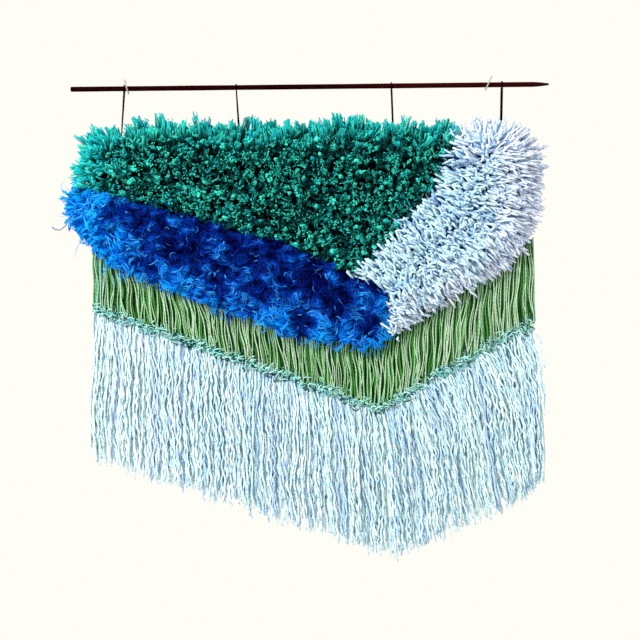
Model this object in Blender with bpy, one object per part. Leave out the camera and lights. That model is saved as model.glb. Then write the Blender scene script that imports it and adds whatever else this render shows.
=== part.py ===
# Textile wall hanging: three areas of pile and two fringes on a canvas, tied to a rod in two wall hooks.
# The wall is the plane y = 0, and the hanging is in front of it, at y < 0, facing -Y.
# The origin is on the wall, level with the rod's axis and about midway between the hooks.
# Sizes below are in millimetres, and each mesh is scaled to metres as it is finished.

import math
import random

import bmesh
import bpy
from mathutils import Matrix, Vector, noise
from mathutils.geometry import delaunay_2d_cdt, intersect_point_line

METRES = 0.001
GAP = 0.3
MERGE_DISTANCE = 0.001
SHARP_ANGLE = math.radians(40)

# Rod: a 24 inch length of quarter inch dowel, blunt at the left and pointed at the right
ROD_RADIUS = 3.175
ROD_LEFT = -302.0
ROD_RIGHT = 308.0
ROD_OUT = 11.0
ROD_SIDES = 20
# Columns: distance in from the end, share of the full radius
ROD_LEFT_END = [(0.0, 0.82), (0.6, 1.0)]
ROD_RIGHT_END = [(20.5, 1.0), (9.0, 0.74), (1.2, 0.42), (0.0, 0.25)]

# Hooks: bent wire. Columns of the bends: distance out from the wall, height, bend radius
HOOK_WIRE_RADIUS = 0.95
HOOK_BENDS = [
    (0.0, 0.6, 0.0),
    (5.0, 0.6, 2.2),
    (11.0, -7.5, 1.6),
    (17.0, 0.6, 2.5),
    (17.8, 7.6, 0.0),
]
BEND_STEP = math.radians(24)
# Columns: name, x at the rod's height, sideways lean for each millimetre of height
HOOKS = [("hook_left", -229.9, -0.257), ("hook_right", 229.8, 0.44)]

# Ties: cord looped over the rod, both legs sewn down on the canvas's back
TIE_RADIUS = 0.6
TIE_LEG_SPACING = 1.55
TIE_SEWN_LENGTH = 22.0
TIE_ABOVE_CANVAS = 1.5
TIE_ARC_STEPS = 11
TIE_LEG_STEPS = 4
# Columns: name, x at the rod, x at the canvas's top edge
TIES = [
    ("tie_1", -233.6, -240.0),
    ("tie_2", -91.0, -87.5),
    ("tie_3", 107.0, 109.5),
    ("tie_4", 248.0, 247.0),
]

# Canvas: a flat sheet whose lower edge is a V
CANVAS_LEFT = -276.0
CANVAS_RIGHT = 282.0
CANVAS_TOP = -72.0
CANVAS_TAPER = 9.0
CANVAS_CORNER = 16.0
CANVAS_BACK = 4.0
CANVAS_THICKNESS = 2.5
CANVAS_FRONT = CANVAS_BACK + CANVAS_THICKNESS

# V lines across the hanging. The V's lowest point is right of the middle
V_X = 88.0
# Columns: height at the left edge, at the V's point, at the right edge
CANVAS_HEM = (-267.0, -399.0, -291.0)
LOOP_ROOTS = (-195.0, -327.0, -200.0)
LOOP_ENDS = (-280.0, -411.0, -304.0)
FRINGE_ENDS = (-468.0, -597.0, -499.0)

# Piles. Columns of an outline: x, height, whether the edge to the next corner is free (not a seam)
SEAM_LEFT = (-286.0, -123.0)
SEAM_TOP = (187.0, -66.0)
SEAM_MIDDLE = (60.0, -239.0)
SEAM_BEND = (97.0, -256.0)
SEAM_BOTTOM = (104.0, -309.0)
SEAM_GAP = 0.6
TEAL_OUTLINE = [
    (*SEAM_LEFT, True),
    (-290.0, -98.0, True),
    (-272.0, -66.0, True),
    (-190.0, -53.0, True),
    (-90.0, -59.0, True),
    (60.0, -56.0, True),
    (150.0, -58.0, True),
    (*SEAM_TOP, False),
    (*SEAM_MIDDLE, False),
]
BLUE_OUTLINE = [
    (*SEAM_LEFT, False),
    (*SEAM_MIDDLE, False),
    (*SEAM_BEND, False),
    (*SEAM_BOTTOM, True),
    (78.0, -324.0, True),
    (22.0, -316.0, True),
    (-66.0, -285.0, True),
    (-180.0, -243.0, True),
    (-262.0, -209.0, True),
    (-292.0, -180.0, True),
    (-301.0, -146.0, True),
]
LAVENDER_OUTLINE = [
    (*SEAM_TOP, True),
    (220.0, -57.0, True),
    (264.0, -64.0, True),
    (285.0, -88.0, True),
    (286.0, -130.0, True),
    (278.0, -178.0, True),
    (256.0, -208.0, True),
    (205.0, -242.0, True),
    (150.0, -278.0, True),
    (*SEAM_BOTTOM, False),
    (*SEAM_BEND, False),
    (*SEAM_MIDDLE, False),
]
# Heights are from the canvas: at the middle, at a free edge, and how much lower it is at a seam.
# The fan is how far the pile spreads out past its roots at a free edge. Locks reach out and drop
PILES = [
    {
        "name": "teal_pile",
        "outline": TEAL_OUTLINE,
        "middle_height": 30.0,
        "edge_height": 17.0,
        "seam_drop": 0.0,
        "fan": 15.0,
        "lump": 3.5,
        "reach": 14.0,
        "drop": 0.0,
    },
    {
        "name": "blue_locks",
        "outline": BLUE_OUTLINE,
        "middle_height": 36.0,
        "edge_height": 20.0,
        "seam_drop": 14.0,
        "fan": 29.0,
        "lump": 5.5,
        "reach": 15.0,
        "drop": 5.0,
    },
    {
        "name": "lavender_pile",
        "outline": LAVENDER_OUTLINE,
        "middle_height": 37.0,
        "edge_height": 19.0,
        "seam_drop": 5.0,
        "fan": 15.0,
        "lump": 4.0,
        "reach": 14.0,
        "drop": 2.0,
    },
]
PILE_RIM_STEP = 9.0
PILE_SEAM_STEP = 16.0
PILE_CELL = 16.0
PILE_CELL_SHIFT = 0.22
PILE_CELL_RIM_SHARE = 0.55
PILE_SHOULDER = 34.0
PILE_SEAM_SHOULDER = 24.0
PILE_LUMP_LENGTH = 34.0
PILE_EDGE_LUMP_SHARE = 0.4
# The flank of a pile, from the canvas out to the rim: share of the fan, share of the edge height
PILE_FLANK = (0.6, 0.62)
# Stations of a lock. Columns: share of the reach, distance back towards the wall, share of the drop
LOCK_MIDDLE = (0.5, 3.5, 0.25)
LOCK_TIP = (1.0, 1.5, 1.0)
LOCK_MIDDLE_WIDTH_SHARE = 0.62
LOCK_MIDDLE_DEPTH_SHARE = 0.3
LOCK_TIP_WIDTH = 2.4
LOCK_TIP_DEPTH = 2.2
LOCK_SLANT = 0.3
LOCK_REACH_SPREAD = (0.75, 1.1)

# Green loops: a strip on the canvas's front with U-shaped strands below it
LOOP_STRIP_HEIGHT = 5.0
LOOP_STRIP_DEPTH = 2.6
LOOP_LEG_PITCH = 5.6
LOOP_YARN = 3.5
LOOP_RIGHT = 276.0
LOOP_LEAN = (-3.0, 0.0, 9.0)
LOOP_LENGTH_SPREAD = 4.0
LOOP_SWAY = 1.6
LOOP_SWAY_LENGTH = 45.0
LOOP_TURN_ANGLES = (math.radians(38), math.radians(72))
# Stations of a leg. Columns: share of its length, distance out from the wall
LOOP_HANG = [(0.3, 9.6), (0.65, 11.0), (1.0, 10.6)]

# Pale fringe: a strip below the canvas's lower edge with straight strands below it
FRINGE_STRIP_HEIGHT = 7.0
FRINGE_STRIP_BACK = 3.1
FRINGE_STRIP_FRONT = 6.5
FRINGE_PITCH = 5.1
FRINGE_YARN = 3.5
FRINGE_TIP_SHARE = 0.55
FRINGE_LEAN = (-6.0, 22.0, 10.0)
FRINGE_LENGTH_SPREAD = 11.0
FRINGE_SWAY = 7.0
FRINGE_SWAY_LENGTH = 60.0
# Stations of a strand. Columns: share of its length, distance out from the wall in the front layer and
# in the back layer, share of the full thickness
FRINGE_HANG = [
    (0.12, 7.2, 4.5, 1.0),
    (0.42, 9.5, 4.5, 1.0),
    (0.74, 9.6, 4.4, 0.9),
    (1.0, 8.8, 4.4, FRINGE_TIP_SHARE),
]
YARN_DEPTH_SHARE = 0.83
SWAY_TURNS = 2.4

SIDEWAYS = Vector((1.0, 0.0, 0.0))
BACK = Vector((0.0, 1.0, 0.0))
DOWN = Vector((0.0, 0.0, -1.0))


def clear_scene():
    for old in list(bpy.data.objects):
        bpy.data.objects.remove(old, do_unlink=True)


def plain_material(name, colour, roughness, metallic=0.0):
    material = bpy.data.materials.new(name)
    material.use_nodes = True
    shader = material.node_tree.nodes["Principled BSDF"]
    shader.inputs["Base Color"].default_value = (*colour, 1.0)
    shader.inputs["Roughness"].default_value = roughness
    shader.inputs["Metallic"].default_value = metallic
    return material


def finish_mesh(name, mesh_data, material):
    bmesh.ops.recalc_face_normals(mesh_data, faces=mesh_data.faces)
    bmesh.ops.scale(mesh_data, vec=Vector((METRES, METRES, METRES)), verts=mesh_data.verts)
    mesh = bpy.data.meshes.new(name)
    mesh_data.to_mesh(mesh)
    mesh_data.free()
    mesh.materials.append(material)
    piece = bpy.data.objects.new(name, mesh)
    bpy.context.scene.collection.objects.link(piece)
    return piece


def wire(name, points, radius, material):
    # A round wire or cord along points given in millimetres, with closed ends
    curve = bpy.data.curves.new(name, "CURVE")
    curve.dimensions = "3D"
    curve.bevel_depth = radius * METRES
    curve.bevel_resolution = 2
    curve.use_fill_caps = True
    spline = curve.splines.new("POLY")
    spline.points.add(len(points) - 1)
    for point, place in zip(spline.points, points):
        point.co = (*(Vector(place) * METRES), 1.0)
    curve.materials.append(material)
    piece = bpy.data.objects.new(name, curve)
    bpy.context.scene.collection.objects.link(piece)
    return piece


def along_v(line, x):
    # A height or a lean at x, from its values at the left edge, the V's point and the right edge
    left, point, right = line
    if x < V_X:
        return left + (point - left) * (x - CANVAS_LEFT) / (V_X - CANVAS_LEFT)
    return point + (right - point) * (x - V_X) / (CANVAS_RIGHT - V_X)


def rounded(corners):
    # The path through corners of (out, height, bend radius), each bend as an arc
    path = []
    for index, (out, height, radius) in enumerate(corners):
        corner = Vector((out, height))
        if radius == 0.0:
            path.append(corner)
            continue
        before = (Vector(corners[index - 1][:2]) - corner).normalized()
        after = (Vector(corners[index + 1][:2]) - corner).normalized()
        half = before.angle(after) / 2
        centre = corner + (before + after).normalized() * (radius / math.sin(half))
        start = corner + before * (radius / math.tan(half)) - centre
        turn = start.angle_signed(corner + after * (radius / math.tan(half)) - centre)
        steps = max(2, math.ceil(abs(turn) / BEND_STEP))
        for step in range(steps + 1):
            path.append(centre + Matrix.Rotation(-turn * step / steps, 2) @ start)
    return path


def make_rod(material):
    # Half the rod's outline, from the axis at the left end to the axis at the point, turned about the axis
    profile = [(ROD_LEFT, 0.0)]
    profile += [(ROD_LEFT + inward, ROD_RADIUS * share) for inward, share in ROD_LEFT_END]
    profile += [(ROD_RIGHT - inward, ROD_RADIUS * share) for inward, share in ROD_RIGHT_END]
    profile.append((ROD_RIGHT, 0.0))
    mesh_data = bmesh.new()
    outline = [mesh_data.verts.new((x, -ROD_OUT, radius)) for x, radius in profile]
    edges = [mesh_data.edges.new(pair) for pair in zip(outline, outline[1:])]
    bmesh.ops.spin(
        mesh_data,
        geom=outline + edges,
        cent=(0.0, -ROD_OUT, 0.0),
        axis=(1.0, 0.0, 0.0),
        angle=math.tau,
        steps=ROD_SIDES,
        use_merge=True,
    )
    bmesh.ops.remove_doubles(mesh_data, verts=mesh_data.verts, dist=MERGE_DISTANCE)
    rod = finish_mesh("rod", mesh_data, material)
    rod.data.shade_smooth()
    rod.data.set_sharp_from_angle(angle=SHARP_ANGLE)


def make_hooks(material):
    side_view = rounded(HOOK_BENDS)
    for name, x, lean in HOOKS:
        path = [(x + lean * height, -out, height) for out, height in side_view]
        wire(name, path, HOOK_WIRE_RADIUS, material)


def make_ties(material):
    turn_radius = ROD_RADIUS + GAP + TIE_RADIUS
    sewn_out = CANVAS_BACK - GAP - TIE_RADIUS
    for name, x_rod, x_canvas in TIES:
        arc = []
        for step in range(TIE_ARC_STEPS + 1):
            share = step / TIE_ARC_STEPS
            x = x_rod + TIE_LEG_SPACING * (share - 0.5)
            out = ROD_OUT - turn_radius * math.cos(math.pi * share)
            arc.append(Vector((x, -out, turn_radius * math.sin(math.pi * share))))
        legs = []
        for side, start in ((-0.5, arc[0]), (0.5, arc[-1])):
            top = Vector((x_canvas + side * TIE_LEG_SPACING, -sewn_out, CANVAS_TOP + TIE_ABOVE_CANVAS))
            leg = [start.lerp(top, step / TIE_LEG_STEPS) for step in range(1, TIE_LEG_STEPS + 1)]
            leg.append(top + DOWN * TIE_SEWN_LENGTH)
            legs.append(leg)
        wire(name, legs[0][::-1] + arc + legs[1], TIE_RADIUS, material)


def make_canvas(material):
    # The sheet is cut a little narrower at the top, and its upper corners are cut off
    corners = [
        (CANVAS_LEFT + CANVAS_CORNER, CANVAS_TOP),
        (CANVAS_RIGHT - CANVAS_TAPER - CANVAS_CORNER, CANVAS_TOP),
        (CANVAS_RIGHT - CANVAS_TAPER, CANVAS_TOP - CANVAS_CORNER),
        (CANVAS_RIGHT, CANVAS_HEM[2]),
        (V_X, CANVAS_HEM[1]),
        (CANVAS_LEFT, CANVAS_HEM[0]),
        (CANVAS_LEFT, CANVAS_TOP - CANVAS_CORNER),
    ]
    mesh_data = bmesh.new()
    front = mesh_data.faces.new([mesh_data.verts.new((x, -CANVAS_FRONT, z)) for x, z in corners])
    grown = bmesh.ops.extrude_face_region(mesh_data, geom=[front], use_keep_orig=True)
    back = [item for item in grown["geom"] if isinstance(item, bmesh.types.BMVert)]
    bmesh.ops.translate(mesh_data, vec=BACK * CANVAS_THICKNESS, verts=back)
    finish_mesh("canvas", mesh_data, material)


def moved_in(outline, free_amount, seam_amount):
    # The outline's corners with each edge moved inwards, free edges and seams by amounts of their own
    corners = [Vector(row[:2]) for row in outline]
    count = len(corners)
    inward = []
    for index in range(count):
        along = (corners[(index + 1) % count] - corners[index]).normalized()
        inward.append((Vector((along.y, -along.x)), free_amount if outline[index][2] else seam_amount))
    moved = []
    for index in range(count):
        (first, first_by), (second, second_by) = inward[index - 1], inward[index]
        det = first.x * second.y - first.y * second.x
        moved.append(
            corners[index]
            + Vector(
                (
                    (first_by * second.y - second_by * first.y) / det,
                    (second_by * first.x - first_by * second.x) / det,
                )
            )
        )
    return moved


def rim_rows(outline, fan):
    # Points round the outline: place on the rim, place on the canvas, whether a lock grows on to the next
    rim = moved_in(outline, 0.0, SEAM_GAP)
    root = moved_in(outline, fan, SEAM_GAP)
    rows = []
    for index, (_, _, free) in enumerate(outline):
        after = (index + 1) % len(outline)
        length = (rim[after] - rim[index]).length
        if free:
            steps = 2 * max(1, round(length / (2 * PILE_RIM_STEP)))
        else:
            steps = max(1, round(length / PILE_SEAM_STEP))
        # No lock grows next to a seam, where it would meet the neighbouring pile
        first_lock = 0 if outline[index - 1][2] else 2
        last_lock = steps - 1 if outline[after][2] else steps - 3
        for step in range(steps):
            share = step / steps
            lock = free and step % 2 == 0 and first_lock <= step <= last_lock
            rows.append((rim[index].lerp(rim[after], share), root[index].lerp(root[after], share), lock))
    return rows


def distance_to_edges(point, outline, wanted_free):
    nearest = math.inf
    for index, (x, z, free) in enumerate(outline):
        if free != wanted_free:
            continue
        start, end = Vector((x, z)), Vector(outline[(index + 1) % len(outline)][:2])
        place, share = intersect_point_line(point, start, end)
        place = start.lerp(end, min(1.0, max(0.0, share)))
        nearest = min(nearest, (point - place).length)
    return nearest


def eased(share):
    return math.sin(math.pi / 2 * min(1.0, share))


def grow(mesh_data, face, stations):
    # Draws a four-sided strand or lock out of a face. A station is its centre, the directions of its
    # width and depth, and the sizes along them. Returns the face at its end
    middle = face.calc_center_median()
    width_way, depth_way = stations[0][1], stations[0][2]
    for centre, across, deep, width, depth in stations:
        face = bmesh.ops.extrude_discrete_faces(mesh_data, faces=[face])["faces"][0]
        for vert in face.verts:
            offset = vert.co - middle
            side = math.copysign(width / 2, offset.dot(width_way))
            level = math.copysign(depth / 2, offset.dot(depth_way))
            vert.co = centre + across * side + deep * level
        middle, width_way, depth_way = centre, across, deep
    return face


def lattice_points(outline, rim, spacing, spread):
    # Evenly spread points inside the rim, each moved a little at random, and clear of the rim
    xs = [row[0] for row in outline]
    zs = [row[1] for row in outline]
    points = []
    row_height = spacing * math.sqrt(3) / 2
    for row in range(math.ceil((max(zs) - min(zs)) / row_height)):
        for column in range(math.ceil((max(xs) - min(xs)) / spacing)):
            shift = Vector([spread.uniform(-1.0, 1.0) for _ in range(2)]) * spacing * PILE_CELL_SHIFT
            x = min(xs) + (column + 0.5 * (row % 2)) * spacing
            point = Vector((x, min(zs) + row * row_height)) + shift
            clear = min((point - place).length for place in rim) > spacing * PILE_CELL_RIM_SHARE
            if clear and inside(point, rim):
                points.append(point)
    return points


def inside(point, corners):
    crossings = 0
    for index, corner in enumerate(corners):
        before = corners[index - 1]
        if (corner.y > point.y) != (before.y > point.y):
            at = corner.x + (before.x - corner.x) * (point.y - corner.y) / (before.y - corner.y)
            crossings += point.x < at
    return crossings % 2 == 1


def make_pile(sizes, material, spread):
    outline, edge_height = sizes["outline"], sizes["edge_height"]
    canvas_y = -(CANVAS_FRONT + GAP)
    lump_place = Vector((spread.uniform(0, 50), spread.uniform(0, 50), 0.0))

    def surface(point):
        rise = eased(distance_to_edges(point, outline, True) / PILE_SHOULDER)
        dip = 1.0 - eased(distance_to_edges(point, outline, False) / PILE_SEAM_SHOULDER)
        bump = noise.noise(Vector((point.x, point.y, 0.0)) / PILE_LUMP_LENGTH + lump_place)
        height = edge_height + (sizes["middle_height"] - edge_height - sizes["seam_drop"] * dip) * rise
        height += sizes["lump"] * bump * (PILE_EDGE_LUMP_SHARE + (1.0 - PILE_EDGE_LUMP_SHARE) * rise)
        return Vector((point.x, canvas_y - height, point.y))

    rows = rim_rows(outline, sizes["fan"])
    rim = [row[0] for row in rows]
    flank_out, flank_up = PILE_FLANK
    mesh_data = bmesh.new()
    points = rim + lattice_points(outline, rim, PILE_CELL, spread)
    places, _, faces, came_from, _, _ = delaunay_2d_cdt(points, [], [range(len(rim))], 1, 1e-4)
    made = [mesh_data.verts.new(surface(place)) for place in places]
    for face in faces:
        mesh_data.faces.new([made[index] for index in face])
    front = {source: vert for vert, sources in zip(made, came_from) for source in sources}
    base, flank = [], []
    for index, (rim_place, root_place, _) in enumerate(rows):
        base.append(mesh_data.verts.new((root_place.x, canvas_y, root_place.y)))
        between = root_place.lerp(rim_place, flank_out)
        depth = canvas_y + (front[index].co.y - canvas_y) * flank_up
        flank.append(mesh_data.verts.new((between.x, depth, between.y)))
    lock_roots = []
    for index, (_, _, lock) in enumerate(rows):
        after = (index + 1) % len(rows)
        mesh_data.faces.new([base[index], base[after], flank[after], flank[index]])
        root = mesh_data.faces.new([flank[index], flank[after], front[after], front[index]])
        if lock:
            lock_roots.append((root, rim[after] - rim[index], front[index].co.lerp(front[after].co, 0.5)))
    mesh_data.faces.new(base)
    bmesh.ops.recalc_face_normals(mesh_data, faces=mesh_data.faces)

    for root, along, start in lock_roots:
        across = Vector((along.x, 0.0, along.y)).normalized()
        outward = Vector((-across.z, 0.0, across.x))
        outward = (outward + across * spread.uniform(-LOCK_SLANT, LOCK_SLANT)).normalized()
        reach = sizes["reach"] * spread.uniform(*LOCK_REACH_SPREAD)
        middle, tip = [
            start + outward * reach * reach_share + BACK * back + DOWN * sizes["drop"] * drop_share
            for reach_share, back, drop_share in (LOCK_MIDDLE, LOCK_TIP)
        ]
        middle_width = along.length * LOCK_MIDDLE_WIDTH_SHARE
        middle_depth = edge_height * LOCK_MIDDLE_DEPTH_SHARE
        stations = [
            (middle, across, BACK, middle_width, middle_depth),
            (tip, across, BACK, LOCK_TIP_WIDTH, LOCK_TIP_DEPTH),
        ]
        grow(mesh_data, root, stations)
    finish_mesh(sizes["name"], mesh_data, material)


def strip_columns(right, pitch, width, pairs):
    # The x limits of each strand's root, counted outwards from the V's point on both sides.
    # Each side has an even number of roots where they are joined in pairs
    roots = []
    for way, limit in ((-1, V_X - CANVAS_LEFT), (1, right - V_X)):
        count = int(limit / pitch)
        count -= count % 2 if pairs else 0
        for index in range(count):
            middle = V_X + way * pitch * (index + 0.5)
            roots.append((middle - width / 2, middle + width / 2))
    return sorted(roots)


def make_strip(roots, right, line, height, back, front):
    # A strip along a V line, and the faces on its underside that the strands grow from
    stops = sorted({CANVAS_LEFT, V_X, right} | {x for root in roots for x in root})
    mesh_data = bmesh.new()
    corners = [(back, height), (front, height), (front, 0.0), (back, 0.0)]
    first = along_v(line, stops[0])
    end = mesh_data.faces.new([mesh_data.verts.new((stops[0], -out, first + up)) for out, up in corners])
    bmesh.ops.extrude_face_region(mesh_data, geom=[end], use_keep_orig=True)
    mesh_data.faces.ensure_lookup_table()
    end = next(face for face in mesh_data.faces if not set(face.verts) & set(end.verts))
    for index, x in enumerate(stops[1:]):
        if index:
            end = bmesh.ops.extrude_discrete_faces(mesh_data, faces=[end])["faces"][0]
        step = Vector((x - stops[index], 0.0, along_v(line, x) - along_v(line, stops[index])))
        bmesh.ops.translate(mesh_data, vec=step, verts=end.verts)
    bmesh.ops.recalc_face_normals(mesh_data, faces=mesh_data.faces)
    undersides = {}
    for face in mesh_data.faces:
        if face.normal.dot(DOWN) > 0.5:
            undersides[round(face.calc_center_median().x, 2)] = face
    return mesh_data, [undersides[round((low + high) / 2, 2)] for low, high in roots]


def make_green_loops(material, spread):
    roots = strip_columns(LOOP_RIGHT, LOOP_LEG_PITCH, LOOP_YARN, True)
    back = CANVAS_FRONT + GAP
    front = back + LOOP_STRIP_DEPTH
    mesh_data, faces = make_strip(roots, LOOP_RIGHT, LOOP_ROOTS, LOOP_STRIP_HEIGHT, back, front)
    radius = LOOP_LEG_PITCH / 2
    depth = LOOP_YARN * YARN_DEPTH_SHARE
    for index in range(0, len(roots), 2):
        middle = (roots[index][0] + roots[index + 1][1]) / 2
        lean = along_v(LOOP_LEAN, middle)
        bottom = along_v(LOOP_ENDS, middle) + radius + spread.uniform(-0.5, 0.5) * LOOP_LENGTH_SPREAD
        ends = []
        for way, root in ((-1, index), (1, index + 1)):
            top = along_v(LOOP_ROOTS, sum(roots[root]) / 2)
            stations = []
            for share, out in LOOP_HANG:
                sway = LOOP_SWAY * noise.noise(Vector((middle / LOOP_SWAY_LENGTH, share * SWAY_TURNS, 0.0)))
                x = middle + way * radius + lean * share + sway
                place = Vector((x, -out, top + (bottom - top) * share))
                stations.append((place, SIDEWAYS, BACK, LOOP_YARN, depth))
            centre = stations[-1][0] - SIDEWAYS * way * radius
            for angle in LOOP_TURN_ANGLES:
                outward = SIDEWAYS * way * math.cos(angle) + DOWN * math.sin(angle)
                across = SIDEWAYS * math.cos(angle) + DOWN * way * math.sin(angle)
                stations.append((centre + outward * radius, across, BACK, LOOP_YARN, depth))
            ends.append(grow(mesh_data, faces[root], stations))
        edges = [edge for end in ends for edge in end.edges]
        bmesh.ops.delete(mesh_data, geom=ends, context="FACES_ONLY")
        bmesh.ops.bridge_loops(mesh_data, edges=edges)
    finish_mesh("green_loops", mesh_data, material)


def make_pale_fringe(material, spread):
    roots = strip_columns(CANVAS_RIGHT, FRINGE_PITCH, FRINGE_YARN, False)
    line = tuple(height - GAP - FRINGE_STRIP_HEIGHT for height in CANVAS_HEM)
    mesh_data, faces = make_strip(
        roots, CANVAS_RIGHT, line, FRINGE_STRIP_HEIGHT, FRINGE_STRIP_BACK, FRINGE_STRIP_FRONT
    )
    for index, (root, face) in enumerate(zip(roots, faces)):
        x = sum(root) / 2
        top = along_v(line, x)
        lean = along_v(FRINGE_LEAN, x)
        bottom = along_v(FRINGE_ENDS, x) + spread.uniform(-0.5, 0.5) * FRINGE_LENGTH_SPREAD
        layer = index % 2
        stations = []
        for share, front_out, back_out, thickness in FRINGE_HANG:
            out = (front_out, back_out)[layer]
            turn = Vector((x / FRINGE_SWAY_LENGTH, share * SWAY_TURNS, FRINGE_SWAY * layer))
            sway = FRINGE_SWAY * share * noise.noise(turn)
            place = Vector((x + lean * share + sway, -out, top + (bottom - top) * share))
            size = FRINGE_YARN * thickness
            stations.append((place, SIDEWAYS, BACK, size, size * YARN_DEPTH_SHARE))
        grow(mesh_data, face, stations)
    finish_mesh("pale_fringe", mesh_data, material)


def main():
    clear_scene()
    spread = random.Random(24)
    make_rod(plain_material("dark_wood", (0.035, 0.012, 0.012), 0.45))
    make_hooks(plain_material("hook_wire", (0.62, 0.6, 0.56), 0.35, 1.0))
    make_ties(plain_material("black_cord", (0.012, 0.012, 0.012), 0.8))
    make_canvas(plain_material("canvas_weave", (0.72, 0.68, 0.58), 0.9))
    pile_materials = {
        "teal_pile": plain_material("teal_yarn", (0.0, 0.27, 0.2), 0.85),
        "blue_locks": plain_material("blue_wool", (0.005, 0.07, 0.45), 0.8),
        "lavender_pile": plain_material("lavender_yarn", (0.55, 0.66, 0.86), 0.85),
    }
    for sizes in PILES:
        make_pile(sizes, pile_materials[sizes["name"]], spread)
    make_green_loops(plain_material("green_yarn", (0.26, 0.45, 0.2), 0.85), spread)
    make_pale_fringe(plain_material("pale_yarn", (0.6, 0.78, 0.88), 0.85), spread)


main()
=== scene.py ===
import math

import bmesh
import bpy
import numpy as np
from mathutils import Matrix, Vector


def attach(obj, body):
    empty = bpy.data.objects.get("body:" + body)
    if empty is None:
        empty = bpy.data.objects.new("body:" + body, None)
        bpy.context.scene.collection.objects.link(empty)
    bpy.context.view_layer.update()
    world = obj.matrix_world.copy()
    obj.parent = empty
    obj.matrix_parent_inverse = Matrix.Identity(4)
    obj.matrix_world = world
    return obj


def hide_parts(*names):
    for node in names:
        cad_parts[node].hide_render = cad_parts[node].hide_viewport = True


# Looks of the wall hanging: yarn piles, fringes, canvas, rod, hooks and ties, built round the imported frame.
# Sizes are in millimetres in the dictionaries, and meshes are made in metres. The front faces -Y.
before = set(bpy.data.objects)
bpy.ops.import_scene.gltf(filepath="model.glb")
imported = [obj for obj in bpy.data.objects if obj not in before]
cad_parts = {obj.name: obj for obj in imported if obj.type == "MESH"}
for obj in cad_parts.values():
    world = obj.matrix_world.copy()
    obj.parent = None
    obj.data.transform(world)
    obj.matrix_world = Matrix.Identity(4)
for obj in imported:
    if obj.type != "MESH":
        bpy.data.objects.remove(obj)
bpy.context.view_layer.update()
mm = 0.001
triangleCount = {}
print("frame loaded:", sorted(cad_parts))


def inMetres(points):
    return np.asarray(points, float) * mm


def linkObject(name, data):
    made = bpy.data.objects.new(name, data)
    bpy.context.scene.collection.objects.link(made)
    return made


# Camera: level with the middle of the picture, turned a little so that the level rod climbs to the right
cameraSet = {
    "distance": 1600.0, "aimX": 12.8, "aimZ": -297.7, "rodOut": 11.0,
    "seenWidth": 816.6, "sensor": 36.0, "rollDegrees": 0.61,
}


def makeCamera():
    sizes = cameraSet
    data = bpy.data.cameras.new("mainCamera")
    data.sensor_width = sizes["sensor"]
    data.lens = sizes["sensor"] * sizes["distance"] / sizes["seenWidth"]
    camera = linkObject("mainCamera", data)
    camera.location = inMetres((sizes["aimX"], -sizes["rodOut"] - sizes["distance"], sizes["aimZ"]))
    camera.rotation_euler = (math.radians(90), math.radians(sizes["rollDegrees"]), 0.0)
    bpy.context.scene.camera = camera
    print("camera placed")


makeCamera()


# Fields over the wall
def unit(vectors):
    return vectors / np.maximum(np.linalg.norm(vectors, axis=-1, keepdims=True), 1e-9)


def ramp(values, start=0.0, end=1.0):
    # 0 as far as start, 1 from end on
    return np.clip((values - start) / (end - start), 0, 1)


def eased(share):
    return np.sin(np.pi / 2 * ramp(share))


def between(ends, share):
    return ends[0] + (ends[1] - ends[0]) * share


def ways(angle, out=0.0):
    # Ways round in the plane of the wall, with a part out of it
    return np.stack(np.broadcast_arrays(np.cos(angle), out, np.sin(angle)), -1)


def onWall(points, out):
    # Places from points (x, height) and how far out from the wall they are
    return np.stack(np.broadcast_arrays(points[..., 0], -out, points[..., 1]), -1)


def waves(x, z, length, seed, count=6):
    # A smooth uneven field over the wall, about -1 to 1
    draw = np.random.default_rng(seed)
    x, z = np.broadcast_arrays(x, z)
    total = np.zeros(x.shape)
    for _ in range(count):
        angle = draw.uniform(0, math.tau)
        scale = length * draw.uniform(0.7, 1.6)
        place = x * math.cos(angle) + z * math.sin(angle)
        total += np.sin(place * math.tau / scale + draw.uniform(0, math.tau))
    return total / math.sqrt(count)


def wander(points, length, seed):
    return np.stack([waves(*points.T, length, seed), waves(*points.T, length, seed + 1)], 1)


def hexGrid(corners, margin, spacing, jitter, draw):
    low, high = np.min(corners, axis=0) - margin, np.max(corners, axis=0) + margin
    rowHeight = spacing * math.sqrt(3) / 2
    rows, columns = int((high[1] - low[1]) / rowHeight) + 1, int((high[0] - low[0]) / spacing) + 1
    row, column = np.meshgrid(np.arange(rows), np.arange(columns), indexing="ij")
    x, z = low[0] + (column + 0.5 * (row % 2)) * spacing, low[1] + row * rowHeight
    points = np.stack([x.ravel(), z.ravel()], 1)
    return points + draw.uniform(-jitter, jitter, points.shape) * spacing


def gathered(points, spacing, draw):
    # Scattered centres that locks of yarn gather round: the number of the nearest, and the way to it
    centres = hexGrid(points, spacing, spacing, 0.4, draw)
    nearest = np.argmin(((centres[None] - points[:, None]) ** 2).sum(2), axis=1)
    return nearest, centres[nearest] - points, len(centres)


def insidePolygon(points, corners):
    inside = np.zeros(len(points), bool)
    for (x1, z1), (x2, z2) in zip(corners, np.roll(corners, 1, axis=0)):
        if z1 != z2:
            crosses = (z1 > points[:, 1]) != (z2 > points[:, 1])
            inside ^= crosses & (points[:, 0] < x1 + (x2 - x1) * (points[:, 1] - z1) / (z2 - z1))
    return inside


def gapsFrom(points, start, end):
    # The way to each point from the nearest place between start and end
    along = end - start
    share = ramp(((points - start) @ along) / (along @ along))
    return points - (start + share[:, None] * along)


def cornersOf(outline):
    return np.array([row[:2] for row in outline], float)


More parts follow.
